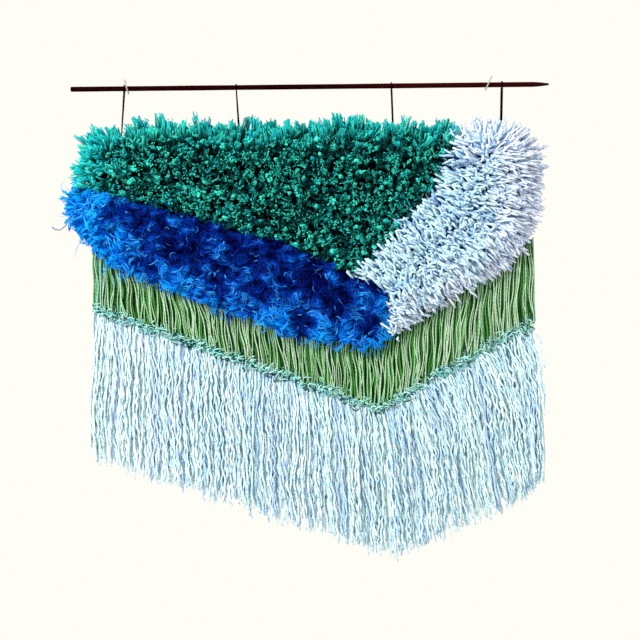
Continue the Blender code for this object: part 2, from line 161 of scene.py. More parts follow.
def edgeFields(points, outline, wantedFree, soften=14.0):
    # Distance to the nearest edge of one kind, below 0 outside, and the way out over that edge
    corners = cornersOf(outline)
    inside = insidePolygon(points, corners)
    nearest = np.full(len(points), np.inf)
    outward = np.zeros((len(points), 2))
    for row, start, end in zip(outline, corners, np.roll(corners, -1, axis=0)):
        if row[2] == wantedFree:
            distance = np.linalg.norm(gapsFrom(points, start, end), axis=1)
            across = unit(np.array([start[1] - end[1], end[0] - start[0]]))
            outward += np.exp(-distance / soften)[:, None] * across
            nearest = np.minimum(nearest, distance)
    return np.where(inside, nearest, -nearest), unit(outward), inside


# Layout of the hanging
def edges(free, *corners):
    # Corners (x, height) of an outline, each with whether the edge to the next one is free, not a seam
    return [(*corner, free) for corner in corners]


seamLeft, seamTop, seamMiddle = (-286.0, -123.0), (187.0, -66.0), (60.0, -239.0)
seamBend, seamBottom = (97.0, -256.0), (104.0, -309.0)
seamCrest, seamDip, seamTongue = (157.0, -131.0), (-30.0, -200.0), (44.0, -236.0)
tealOutline = edges(
    True, seamLeft, (-284, -98), (-270, -66), (-190, -53), (-90, -59), (60, -56), (150, -58)
) + edges(False, seamTop, seamCrest, seamMiddle, seamDip)
blueOutline = edges(False, seamLeft, seamDip, seamMiddle, seamBend) + edges(
    True, seamBottom, (79, -331), (22, -322), (-30, -317), (-68, -295), (-134, -275), (-182, -252),
    (-246, -228), (-266, -206), (-290, -186), (-303, -162), (-307, -144), (-300, -129)
)
lavenderOutline = edges(
    True, seamTop, (220, -57), (264, -64), (285, -88), (286, -130), (279, -178), (263, -211), (205, -248),
    (150, -276)
) + edges(False, seamBottom, seamBend, seamTongue, (70, -226), seamCrest)
canvasSet = {
    "left": -276.0, "right": 282.0, "top": -72.0, "taper": 9.0, "corner": 16.0,
    "front": 6.5, "hemBack": 4.0, "innerBack": 4.5, "hemWidth": 12.0, "cell": 9.0,
    # The lower edge: x of its point, then its height at the left, at the point and at the right
    "vX": 88.0, "hem": (-267.0, -399.0, -291.0),
    "ripple": 0.25, "weavePitch": 1.5,
}


def alongV(line, x):
    # Height at x of a line that runs like the lower edge, also past its ends
    left, point, right = line
    middle = canvasSet["vX"]
    leftPart = left + (point - left) * (x - canvasSet["left"]) / (middle - canvasSet["left"])
    rightPart = point + (right - point) * (x - middle) / (canvasSet["right"] - middle)
    return np.where(x < middle, leftPart, rightPart)


def onCanvas(points, margin=3.0):
    # Moves roots that fall off the canvas back on to it
    x = np.clip(points[:, 0], canvasSet["left"] + margin, canvasSet["right"] - canvasSet["taper"] - margin)
    z = np.minimum(points[:, 1], canvasSet["top"] - margin)
    return np.stack([x, np.maximum(z, alongV(canvasSet["hem"], x) + margin)], 1)


# Strands and pieces
def linkPiece(name, mesh):
    mesh.calc_loop_triangles()
    triangleCount[name] = len(mesh.loop_triangles)
    return linkObject(name, mesh)


def setFloats(mesh, floats):
    for key, values in floats.items():
        values = np.broadcast_to(ramp(values), len(mesh.vertices)).astype(np.float32)
        mesh.attributes.new(key, "FLOAT", "POINT").data.foreach_set("value", values)


def meshFromArrays(name, points, loops, starts, uv, floats):
    mesh = bpy.data.meshes.new(name)
    for items, key, values, kind in (
        (mesh.vertices, "co", points * mm, np.float32),
        (mesh.loops, "vertex_index", loops, np.int32),
        (mesh.polygons, "loop_start", starts, np.int32),
    ):
        items.add(len(values))
        items.foreach_set(key, values.astype(kind).ravel())
    mesh.uv_layers.new(name="UVMap").data.foreach_set("uv", uv.astype(np.float32).ravel())
    setFloats(mesh, floats)
    mesh.update(calc_edges=True)
    mesh.shade_smooth()
    return linkPiece(name, mesh)


def sweepStrands(name, paths, radii, sides, dome, floats=None, behind=None, flankShade=0.0):
    # One closed strand for each path: paths are (strand, ring, 3), radii (strand, ring)
    count, rings, _ = paths.shape
    tangents = unit(np.gradient(paths, axis=1))
    side = np.cross(tangents[:, 0], np.array([0.31, 0.17, 0.93]))
    normals = np.empty_like(paths)
    for ring in range(rings):
        side = unit(side - (side * tangents[:, ring]).sum(1)[:, None] * tangents[:, ring])
        normals[:, ring] = side
    angles = (np.arange(sides) * math.tau / sides)[:, None]
    across = np.cross(tangents, normals)
    spokes = np.cos(angles) * normals[:, :, None] + np.sin(angles) * across[:, :, None]
    ringPoints = paths[:, :, None] + radii[:, :, None, None] * spokes
    tips = paths[:, -1] + tangents[:, -1] * (radii[:, -1] * dome)[:, None]
    points = np.concatenate([ringPoints.reshape(count, -1, 3), tips[:, None]], axis=1).reshape(-1, 3)

    # The faces of one strand, and how far round and which ring each of their corners is
    grids = np.meshgrid(np.arange(rings - 1), np.arange(sides), indexing="ij")
    ring, corner = (grid.ravel() for grid in grids)
    turn = np.stack([corner, corner + 1, corner + 1, corner], 1)
    level = np.stack([ring, ring, ring + 1, ring + 1], 1)
    spin = np.arange(sides)
    fanTurn = np.stack([spin, spin + 1, spin + 0.5], 1)
    fan = np.stack([spin, (spin + 1) % sides, np.full(sides, sides)], 1) + (rings - 1) * sides
    order = np.concatenate([(level * sides + turn % sides).ravel(), fan.ravel(), spin[::-1]])
    turns = np.concatenate([turn.ravel(), fanTurn.ravel(), spin[::-1]]) / sides
    levels = np.concatenate([level.ravel(), np.full(fan.size, rings - 1), spin * 0])
    loops = (np.arange(count)[:, None] * (rings * sides + 1) + order).ravel()
    corners = np.tile(np.repeat([4, 3, sides], [len(turn), sides, 1]), count)
    lengths = np.cumsum(np.linalg.norm(np.diff(paths, axis=1, prepend=paths[:, :1]), axis=2), axis=1)
    uv = np.stack([np.tile(turns, count), lengths[:, levels].ravel()], 1)

    def withTip(values, tip):
        return np.concatenate([values.reshape(count, -1), np.broadcast_to(tip, (count, 1))], axis=1).ravel()

    values = {}
    for key, value in (floats or {}).items():
        value = value if np.ndim(value) == 2 else np.reshape(value, (-1, 1))
        value = np.broadcast_to(ramp(value), (count, rings))
        values[key] = withTip(np.repeat(value, sides, axis=1), value[:, -1:])
    if flankShade:
        # Painted shade on the flanks leaves a painted highlight along the front of each strand
        values["shade"] *= 1 - flankShade * (1 - withTip(ramp(-spokes[..., 1]), 1.0))
    if behind is not None:
        # The side next to the wall is open from behind, so it is as light there as the yarns in front
        seen = ramp(spokes[..., 1] * 2.5 - 1) * np.reshape(behind, (-1, 1, 1))
        values["shade"] = np.maximum(values["shade"], withTip(seen, 0.0))
    return meshFromArrays(name, points, loops, np.cumsum(corners) - corners, uv, values)


def bentPaths(roots, tips, shares, lift):
    # Strands leave the canvas square to it, then bend over to their tips
    share = np.asarray(shares)[None, :, None]
    middle = roots.copy()
    middle[:, 1] += (tips[:, 1] - roots[:, 1]) * lift
    rest = 1 - share
    return rest**2 * roots[:, None] + 2 * share * rest * middle[:, None] + share**2 * tips[:, None]


def evenSteps(path, step):
    lengths = np.cumsum(np.linalg.norm(np.diff(path, axis=0, prepend=path[:1]), axis=1))
    marks = np.linspace(0, lengths[-1], max(2, round(lengths[-1] / step)) + 1)
    return np.stack([np.interp(marks, lengths, values) for values in path.T], 1)


def pieceFromForm(name, form, sharpDegrees=180.0):
    bmesh.ops.recalc_face_normals(form, faces=form.faces)
    bmesh.ops.scale(form, vec=Vector((mm, mm, mm)), verts=form.verts)
    mesh = bpy.data.meshes.new(name)
    form.to_mesh(mesh)
    form.free()
    mesh.shade_smooth()
    mesh.set_sharp_from_angle(angle=math.radians(sharpDegrees))
    return linkPiece(name, mesh)


def gridForm(low, high, cell, out):
    # A flat grid between two corners (x, height)
    span, middle = high - low, (low + high) / 2
    form = bmesh.new()
    bmesh.ops.create_grid(form, x_segments=round(span[0] / cell), y_segments=round(span[1] / cell), size=0.5)
    bmesh.ops.scale(form, vec=Vector((*span, 1.0)), verts=form.verts)
    bmesh.ops.rotate(form, matrix=Matrix.Rotation(math.radians(90), 3, "X"), verts=form.verts)
    bmesh.ops.translate(form, vec=Vector((middle[0], -out, middle[1])), verts=form.verts)
    return form


def secondSide(form):
    # Gives a sheet its second side, and returns the vertices of that
    grown = bmesh.ops.extrude_face_region(form, geom=form.faces[:], use_keep_orig=True)
    return [item for item in grown["geom"] if isinstance(item, bmesh.types.BMVert)]


def placesOf(vertices):
    return np.array([(vertex.co.x, vertex.co.z) for vertex in vertices])


# Materials
def newMaterial(name, roughness=0.5, specular=0.5):
    material = bpy.data.materials.new(name)
    material.use_nodes = True
    shader = material.node_tree.nodes["Principled BSDF"]
    shader.inputs["Roughness"].default_value = roughness
    shader.inputs["Specular IOR Level"].default_value = specular
    return material, material.node_tree, shader


def addNode(tree, kind, inputs=None, **settings):
    node = tree.nodes.new(kind)
    for key, value in settings.items():
        setattr(node, key, value)
    for key, value in (inputs or {}).items():
        if isinstance(value, bpy.types.NodeSocket):
            tree.links.new(value, node.inputs[key])
        else:
            node.inputs[key].default_value = value
    return node


def maths(tree, operation, *values):
    return addNode(tree, "ShaderNodeMath", dict(enumerate(values)), operation=operation).outputs[0]


def times(tree, first, second):
    return maths(tree, "MULTIPLY", first, second)


def lessened(tree, value, by, amount):
    return times(tree, value, maths(tree, "SUBTRACT", 1.0, times(tree, by, amount)))


def mixColours(tree, factor, first, second):
    inputs = {0: factor, 6: first, 7: second}
    return addNode(tree, "ShaderNodeMix", inputs, data_type="RGBA", clamp_factor=True).outputs[2]


def litColour(tree, lit, deep, middle, body):
    # deep where lit is 0, middle at 1 and body at 2
    return mixColours(tree, maths(tree, "SUBTRACT", lit, 1.0), mixColours(tree, lit, deep, middle), body)


def noiseValue(tree, vector, **inputs):
    return addNode(tree, "ShaderNodeTexNoise", {"Vector": vector} | inputs).outputs[0]


def smoothRange(tree, value, low, high):
    inputs = {"Value": value, "From Min": low, "From Max": high}
    return addNode(tree, "ShaderNodeMapRange", inputs, interpolation_type="SMOOTHSTEP").outputs["Result"]


def attributeValue(tree, name):
    return addNode(tree, "ShaderNodeAttribute", attribute_name=name).outputs["Fac"]


def objectPlace(tree):
    return addNode(tree, "ShaderNodeTexCoord").outputs["Object"]


def partsOf(tree, vector):
    return addNode(tree, "ShaderNodeSeparateXYZ", {0: vector}).outputs


def coat(tree, shader, colour, height, strength, depth):
    # Colour and relief of a surface
    tree.links.new(colour, shader.inputs["Base Color"])
    inputs = {"Height": height, "Strength": strength, "Distance": depth * mm}
    tree.links.new(addNode(tree, "ShaderNodeBump", inputs).outputs[0], shader.inputs["Normal"])


def newGroup(name, colours, numbers=()):
    # A node group that puts out the colour and the height of a surface
    group = bpy.data.node_groups.new(name, "ShaderNodeTree")
    sockets = [(key, "INPUT", "Color") for key in colours] + [(key, "INPUT", "Float") for key in numbers]
    for key, way, kind in sockets + [("Colour", "OUTPUT", "Color"), ("Height", "OUTPUT", "Float")]:
        group.interface.new_socket(key, in_out=way, socket_type="NodeSocket" + kind)
    return group, addNode(group, "NodeGroupInput").outputs, addNode(group, "NodeGroupOutput").inputs


def makeYarnGroup():
    # Colours a strand by the painted shade in its shade attribute, its tone and cast, with streaks of fibre
    # and the twist of its plies
    group, given, out = newGroup(
        "yarnColouring",
        ("Deep Shade", "Shadow", "Middle", "Body", "Light", "Cast"),
        ("Plies", "Pitch", "Groove Shade", "Lightness", "Cast Amount", "Fleck", "Highlight Specks", "Shade Slots"),
    )
    shade, tone, cast = (attributeValue(group, key) for key in ("shade", "tone", "cast"))
    around, along, _ = partsOf(group, addNode(group, "ShaderNodeUVMap").outputs[0])

    def strandNoise(rates, detail):
        parts = [times(group, value, rate) for value, rate in zip((around, along, tone), rates)]
        place = addNode(group, "ShaderNodeCombineXYZ", dict(enumerate(parts))).outputs[0]
        return noiseValue(group, place, Scale=1.0, Detail=detail)

    pitches = maths(group, "DIVIDE", along, given["Pitch"])
    turns = maths(group, "ADD", times(group, around, given["Plies"]), pitches)
    twist = maths(group, "MULTIPLY_ADD", maths(group, "SINE", times(group, turns, math.tau)), 0.5, 0.5)
    fibre = strandNoise((9.0, 0.35, 37.0), 3.0)
    fleck = times(group, maths(group, "SUBTRACT", fibre, 0.5), given["Fleck"])
    light = maths(group, "ADD", times(group, tone, given["Lightness"]), fleck)
    body = mixColours(group, times(group, cast, given["Cast Amount"]), given["Body"], given["Cast"])
    body = mixColours(group, maths(group, "MAXIMUM", light, 0.0), body, given["Light"])

    # Short slots of painted shade along each strand, like the shadowed gaps between strands
    shadeSlots = smoothRange(group, strandNoise((2.0, 0.2, 91.0), 1.0), 0.58, 0.66)
    # Painted shade in the grooves between the plies of the twist
    lit = lessened(group, times(group, shade, 2.0), maths(group, "SUBTRACT", 1.0, twist), given["Groove Shade"])
    lit = lessened(group, lit, shadeSlots, given["Shade Slots"])
    # Painted shade: as lit falls, the colour runs from the body through the middle colour to a deep shade
    # colour, which turns to the shadow colour in patches
    patch = smoothRange(group, noiseValue(group, objectPlace(group), Scale=30.0, Detail=1.0), 0.42, 0.6)
    dark = mixColours(group, patch, given["Deep Shade"], given["Shadow"])
    colour = litColour(group, lit, dark, given["Middle"], body)
    # Painted highlight: specks of the light colour on the most lit parts of a strand
    highlightSpeck = smoothRange(group, noiseValue(group, objectPlace(group), Scale=650.0, Detail=2.0), 0.56, 0.66)
    highlightSpeck = times(group, times(group, highlightSpeck, smoothRange(group, lit, 0.7, 1.7)), given["Highlight Specks"])
    group.links.new(mixColours(group, highlightSpeck, colour, given["Light"]), out["Colour"])
    group.links.new(maths(group, "MULTIPLY_ADD", fibre, 0.35, twist), out["Height"])
    return group


def makeWoolGroup():
    # Matted wool under a pile: streaks of lighter fibre over deep gaps, which its shade attribute darkens
    # with painted shade
    group, given, out = newGroup("mattedWool", ("Deep Shade", "Middle", "Body", "Cast"))
    noise = noiseValue(group, objectPlace(group), Scale=140.0, Detail=6.0, Roughness=0.6, Distortion=2.5)
    streak = maths(group, "SUBTRACT", smoothRange(group, noise, 0.35, 0.72), 0.5)
    lit = times(group, maths(group, "MULTIPLY_ADD", streak, 0.45, attributeValue(group, "shade")), 2.0)
    body = mixColours(group, attributeValue(group, "cast"), given["Body"], given["Cast"])
    group.links.new(litColour(group, lit, given["Deep Shade"], given["Middle"], body), out["Colour"])
    group.links.new(noise, out["Height"])
    return group


yarnGroup, woolGroup = makeYarnGroup(), makeWoolGroup()
# Columns of a surface: strength and depth of its relief, roughness, specular level
woolSurface = (0.9, 1.2, 0.95, 0.03)


def groupMaterial(name, group, look, surface):
    strength, depth, roughness, specular = surface
    material, tree, shader = newMaterial(name, roughness, specular)
    made = addNode(tree, "ShaderNodeGroup", node_tree=group)
    for key, value in look.items():
        made.inputs[key].default_value = (*value, 1) if isinstance(value, tuple) else value
    coat(tree, shader, made.outputs["Colour"], made.outputs["Height"], strength, depth)
    return material


def dress(piece, material, slotName, *nodes):
    piece.data.materials.append(material)
    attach(piece, "root")
    if nodes:
        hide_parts(*nodes)
    return piece


# What is sewn on the canvas. A yarn is its material, its slot and the node that it replaces
wallSideShade = 0.95  # how light the yarns are on the side that faces the wall


def yarnFor(name, slotName, node, sizes):
    return groupMaterial(name, yarnGroup, sizes["look"], sizes["surface"]), slotName, node


def sew(name, yarn, paths, radii, sides, dome, shade, tone, cast, behind=None, flankShade=0.0):
    floats = {"shade": shade, "tone": tone, "cast": cast}
    dress(sweepStrands(name, paths, radii, sides, dome, floats, behind, flankShade), *yarn)


def sewInTwo(names, yarn, order, half, paths, radii, dome, shade, tone, cast, behind=None):
    # Sews the strands on as two pieces, each with about half of them. One piece would
    # have too many faces
    for name, part in zip(names, (order[:half], order[half:])):
        seen = None if behind is None else behind[part]
        sew(name, yarn, paths[part], radii[part], 3, dome, shade[part], tone[part], cast[part], seen)


# Piles
def lumpsOf(x, z, sizes):
    large = waves(x, z, sizes["lumpLength"], sizes["seed"] + 1)
    return large + waves(x, z, sizes["lumpLength"] * 0.45, sizes["seed"] + 5) * sizes["smallLumps"]


def pileFields(points, outline, sizes):
    # How far out from the canvas the pile stands at points, and where its edges are from there
    free, outward, inside = edgeFields(points, outline, True)
    seam = edgeFields(points, outline, False)[0]
    depth = free + sizes["freeReach"]
    dip = 1 - eased(np.abs(seam) / sizes["seamShoulder"])
    height = between((sizes["edgeHeight"], sizes["middleHeight"]), eased(depth / sizes["shoulder"]))
    height = height - sizes["seamDrop"] * dip + lumpsOf(*points.T, sizes) * sizes["lump"]
    fields = {"points": points, "free": free, "outward": outward, "inside": inside}
    return fields | {"seam": np.abs(seam), "depth": depth, "height": height}


def spreadTips(outline, sizes, draw):
    # Places of the tips over an area of pile: the field, then layers of shorter ones down its free flank
    layers = []
    for spacing, onRim in ((sizes["spacing"], False), (sizes["rimSpacing"], True)):
        grid = hexGrid(cornersOf(outline), sizes["freeReach"] + 6, spacing, 0.42, draw)
        tips = pileFields(grid, outline, sizes)
        free, seam, inside = tips["free"], tips["seam"], tips["inside"]
        uneven = waves(*grid.T, sizes["unevenLength"], sizes["seed"])
        reach = sizes["freeReach"] + uneven * sizes["edgeUneven"]
        if onRim:
            keep = (free < 6) & (free > -reach) & (inside | (np.abs(free) < seam))
        else:
            keep = inside | ((free < 0) & (free > -reach) & (np.abs(free) < seam + 2))
            keep |= ~inside & (seam < sizes["seamReach"]) & (seam <= np.abs(free))
            keep &= waves(*grid.T, sizes["holeLength"], sizes["seed"] + 7) < sizes["holeLevel"]
        tips = {key: value[keep] for key, value in tips.items()}
        count = len(tips["points"])
        if onRim:
            tips["height"] = draw.uniform(2.0, sizes["edgeHeight"] * 0.85, count)
        else:
            tips["height"] += draw.normal(0, sizes["heightSpread"], count)
        layers.append(tips)
    return {key: np.concatenate([layer[key] for layer in layers]) for key in layers[0]}


def makeCore(name, outline, sizes, yarn, fieldsOf):
    # A lumpy layer of matted wool under the strands, which closes the gaps between them
    corners, over = cornersOf(outline), sizes["coreOver"]
    form = gridForm(corners.min(0) - over, corners.max(0) + over, sizes["coreCell"], canvasSet["front"] + 0.3)
    fields = pileFields(placesOf(form.verts), outline, sizes)
    free, seam, inside = fields["free"], fields["seam"], fields["inside"]
    kept = inside | (~inside & (-free < over) & (-free < seam)) | (seam < sizes["coreTuck"])
    doomed = [vertex for vertex, keep in zip(form.verts, kept) if not keep]
    while doomed:
        bmesh.ops.delete(form, geom=doomed, context="VERTS")
        doomed = [vertex for vertex in form.verts if sum(edge.is_boundary for edge in vertex.link_edges) > 2]
    front = secondSide(form)
    fields = pileFields(placesOf(front), outline, sizes)
    heights = fields["height"] * sizes["coreShare"]
    heights += waves(*fields["points"].T, 13.0, sizes["seed"] + 3) * sizes["coreLump"]
    heights *= 0.35 + 0.65 * eased((fields["free"] + over) / 16.0)
    heights = np.where(fields["inside"], heights, np.minimum(heights, 5.0))
    for vertex, height in zip(front, np.maximum(heights, 3.0)):
        vertex.co.y -= height
    bmesh.ops.smooth_vert(form, verts=form.verts, factor=0.4, use_axis_x=True, use_axis_z=True)
    piece = pieceFromForm(name, form)
    x, y, z = np.array([vertex.co for vertex in piece.data.vertices]).T / mm
    cast, shade = fieldsOf(x, z, edgeFields(np.stack([x, z], 1), outline, True)[0])
    # Painted light on the side that faces the wall: the core has less painted shade there
    onBack = y > -canvasSet["front"] - 1.0
    shade = np.where(onBack, np.maximum(shade, sizes["coreBackShade"]), shade)
    setFloats(piece.data, {"cast": cast, "shade": shade})
    material = groupMaterial(name.replace("Core", "Mat"), woolGroup, sizes["matLook"], woolSurface)
    dress(piece, material, *yarn[1:])


# What the looks of the yarns share, unless they say otherwise
plainLook = {"Plies": 2.0, "Lightness": 1.0, "Cast Amount": 0.9, "Highlight Specks": 0.1, "Shade Slots": 0.1}
tealSet = {
    "seed": 11, "spacing": 5.6, "rimSpacing": 5.1,
    "freeReach": 13.0, "seamReach": 6.0, "edgeUneven": 4.0, "unevenLength": 26.0,
    "shoulder": 40.0, "seamShoulder": 20.0, "edgeHeight": 15.0, "middleHeight": 29.5, "seamDrop": 0.0,
    "lump": 2.2, "lumpLength": 34.0, "smallLumps": 0.5, "heightSpread": 3.0,
    "holeLength": 13.0, "holeLevel": 0.92,
    "lockSpacing": 11.5, "lockPull": (0.14, 0.48), "lockRise": 2.4, "lockReach": 2.8, "lockBand": 30.0,
    "fan": 27.0, "fanWidth": 60.0, "fanPower": 1.4, "lean": 7.5, "leanLength": 24.0, "rimScatter": 1.6,
    "tallShare": 0.05, "tallDepth": 25.0, "tall": 5.0,
    # The plies of a tuft. Ranges run from a closed tuft to an open one
    "plies": 4, "splay": (0.9, 3.6), "hook": 5.0, "radius": (1.75, 0.9), "headSpread": 0.16,
    # The rings of a ply from root to head: place, thickness, shade, least shade where the cast is full, tone
    "ringPlaces": (0.0, 0.55, 0.85, 1.0), "profile": (0.75, 0.85, 0.98, 1.12),
    "ringShade": (0.0, 0.04, 0.45, 1.0), "castShade": (0.05, 0.45, 0.85, 1.0),
    "ringTone": (-0.1, -0.1, 0.0, 0.22),
    "flecks": 1750, "fleckSize": (1.2, 5.5), "fleckTurn": (2.2, 6.5), "fleckScatter": 2.0,
    "fleckRadius": (0.4, 0.85), "fleckProfile": (0.5, 1.0, 1.0, 0.5),
    # The bluer cast: its width along the free edge, and where it grows towards the left end
    "edgeBand": 48.0, "leftBand": (-225.0, -265.0),
    "coreCell": 6.0, "coreOver": 2.0, "coreTuck": 5.0, "coreShare": 0.42, "coreLump": 1.5, "coreBackShade": 0.8,
    "surface": (0.4, 0.4, 0.7, 0.1),
    "look": plainLook | {
        "Deep Shade": (0.0, 0.024, 0.034), "Shadow": (0.0, 0.040, 0.028), "Middle": (0.0, 0.075, 0.068),
        "Body": (0.0, 0.21, 0.17), "Light": (0.06, 0.92, 0.69), "Cast": (0.0, 0.51, 0.60),
        "Pitch": 4.0, "Groove Shade": 0.15, "Fleck": 0.6, "Highlight Specks": 0.4,
    },
    "matLook": {
        "Deep Shade": (0.0, 0.002, 0.003), "Middle": (0.0, 0.012, 0.012), "Body": (0.0, 0.03, 0.03),
        "Cast": (0.0, 0.2, 0.2),
    },
}


def makeTeal():
    sizes = tealSet
    draw = np.random.default_rng(sizes["seed"])
    tips = spreadTips(tealOutline, sizes, draw)
    points, depth = tips["points"], tips["depth"]
    x, z = points.T
    count, plies = len(points), sizes["plies"]
    fan = sizes["fan"] * (1 - ramp(depth, 0, sizes["fanWidth"])) ** sizes["fanPower"]
    shift = tips["outward"] * fan[:, None]
    shift += wander(points, sizes["leanLength"], 5) * sizes["lean"]
    shift += draw.normal(0, sizes["lean"] * 0.55, points.shape)
    tall = (draw.uniform(0, 1, count) < sizes["tallShare"]) & (depth > sizes["tallDepth"])
    number, toLock, lockCount = gathered(points, sizes["lockSpacing"], draw)
    rim = ramp(1 - depth / sizes["lockBand"])
    reach = draw.normal(0, sizes["lockReach"], lockCount)[number] * rim
    lockRise = draw.normal(0, sizes["lockRise"], lockCount)[number]
    heights = tips["height"] + tall * sizes["tall"] + lockRise * (1 - 0.6 * rim)
    moved = points + toLock * between(sizes["lockPull"], rim)[:, None] + tips["outward"] * reach[:, None]
    moved += draw.normal(0, sizes["rimScatter"], points.shape) * rim[:, None]
    roots = onWall(onCanvas(points - shift), canvasSet["front"])
    ends = onWall(moved, canvasSet["front"] + heights)

    # Each tuft is a bundle of plies, tight and thick or open, thin and hooked
    total = count * plies
    roots, ends, tallPly, rimPly = (np.repeat(values, plies, axis=0) for values in (roots, ends, tall, rim))
    openness = np.repeat(draw.beta(0.9, 1.25, count) * (1 - 0.6 * tall) * (1 - 0.2 * rim), plies)
    angle = np.tile(np.arange(plies) * math.tau / plies, count)
    angle += np.repeat(draw.uniform(0, math.tau, count), plies)
    roots += ways(angle) * 0.5
    ends += ways(angle) * between(sizes["splay"], openness)[:, None] + draw.normal(0, 0.5, (total, 3))
    ends[:, 1] += draw.normal(0, 1.2, total) + 1.5 * openness
    paths = bentPaths(roots, ends, sizes["ringPlaces"], 0.85)
    hook = ways(draw.uniform(0, math.tau, total), draw.uniform(-0.2, 0.5, total))
    hook *= (openness * draw.uniform(0.2, 1.0, total) * sizes["hook"])[:, None]
    paths[:, 3] += hook
    paths[:, 2] += hook * 0.25
    thick = between(sizes["radius"], openness)
    thick *= draw.uniform(0.8, 1.12, total) * (1 + 0.25 * tallPly - 0.32 * rimPly)
    thick *= np.repeat(np.clip(1 + draw.normal(0, sizes["headSpread"], count), 0.65, 1.5), plies)
    radii = thick[:, None] * sizes["profile"]

    # Painted light and shade: a tuft that stands lower than its neighbours is darker, and the tall ones are
    # lighter in tone and shade
    own = draw.beta(0.6, 2.0, count) * 1.05 + tall * 0.35 + 0.15 * waves(x, z, 9.0, 12)
    tone = np.repeat(own, plies) + draw.normal(0, 0.11, total) + 0.5 * (draw.uniform(0, 1, total) < 0.08)
    standing = tips["height"] - pileFields(points, tealOutline, sizes)["height"] + lockRise
    standing /= math.hypot(sizes["heightSpread"], sizes["lockRise"])
    lit = np.clip(0.70 + 0.40 * np.clip(standing, -2.2, 1.2), 0.04, 1) + tall * 0.3
    edge = 1.1 - ramp(depth, 0, sizes["edgeBand"]) + 0.3 * waves(x, z, 30.0, 9)
    edge += 0.5 * ramp(x, *sizes["leftBand"])
    cast = ramp(np.repeat(np.maximum(edge, 0.8 * (waves(x, z, 22.0, 10) > 1.1)), plies))
    shade = np.repeat(lit, plies)[:, None] * sizes["ringShade"]
    # Painted light along the free edge: where the cast shows, the plies are lit down towards their roots
    shade = np.maximum(shade, cast[:, None] ** 0.7 * sizes["castShade"])
    tone += 0.3 * np.repeat(draw.beta(0.7, 1.6, lockCount)[number] - 0.35, plies) - 0.1 * cast
    tone = tone[:, None] + draw.uniform(0, 1, (total, 1)) * sizes["ringTone"]
    yarn = yarnFor("tealYarn", "teal_yarn", "teal_pile", sizes)
    half = total // 2 // plies * plies
    names = ("tealTuftsLower", "tealTuftsUpper")
    sewInTwo(names, yarn, np.arange(total), half, paths, radii, 0.5, shade, tone, cast)

    # Thin curls of bright fibre that lie loose on the heads
    flecks = sizes["flecks"]
    pick = draw.choice(np.flatnonzero(standing > -0.6), flecks)
    size = draw.uniform(*sizes["fleckSize"], (flecks, 1))
    share = np.linspace(0, 1, 4)
    start, bend = draw.uniform(0, math.tau, (flecks, 1)), draw.uniform(*sizes["fleckTurn"], (flecks, 1))
    turn = start + share * bend / (size + 1.0)
    out = canvasSet["front"] + heights[pick][:, None] + draw.uniform(0.0, 1.6, (flecks, 1)) + share * 0.8
    ring = ways(turn)[..., ::2] * size[..., None]
    curls = (moved[pick] + draw.normal(0, sizes["fleckScatter"], (flecks, 2)))[:, None] - ring[:, :1] + ring
    shade, tone = draw.uniform(0.7, 1, flecks), draw.uniform(0.6, 1.4, flecks)
    radii = draw.uniform(*sizes["fleckRadius"], (flecks, 1)) * sizes["fleckProfile"]
    sew("tealFlecks", yarn, onWall(curls, out), radii, 3, 0.8, shade, tone, 0.0)

    def matFields(x, z, free):
        # The cast grows near the free edge, and there the core has less painted shade
        cast = 1 - ramp(free, 0, 26)
        return cast, 0.3 + 0.5 * cast

    makeCore("tealCore", tealOutline, sizes, yarn, matFields)
    print("teal tufts:", count, "plies:", total)
    return yarn


tealYarn = makeTeal()

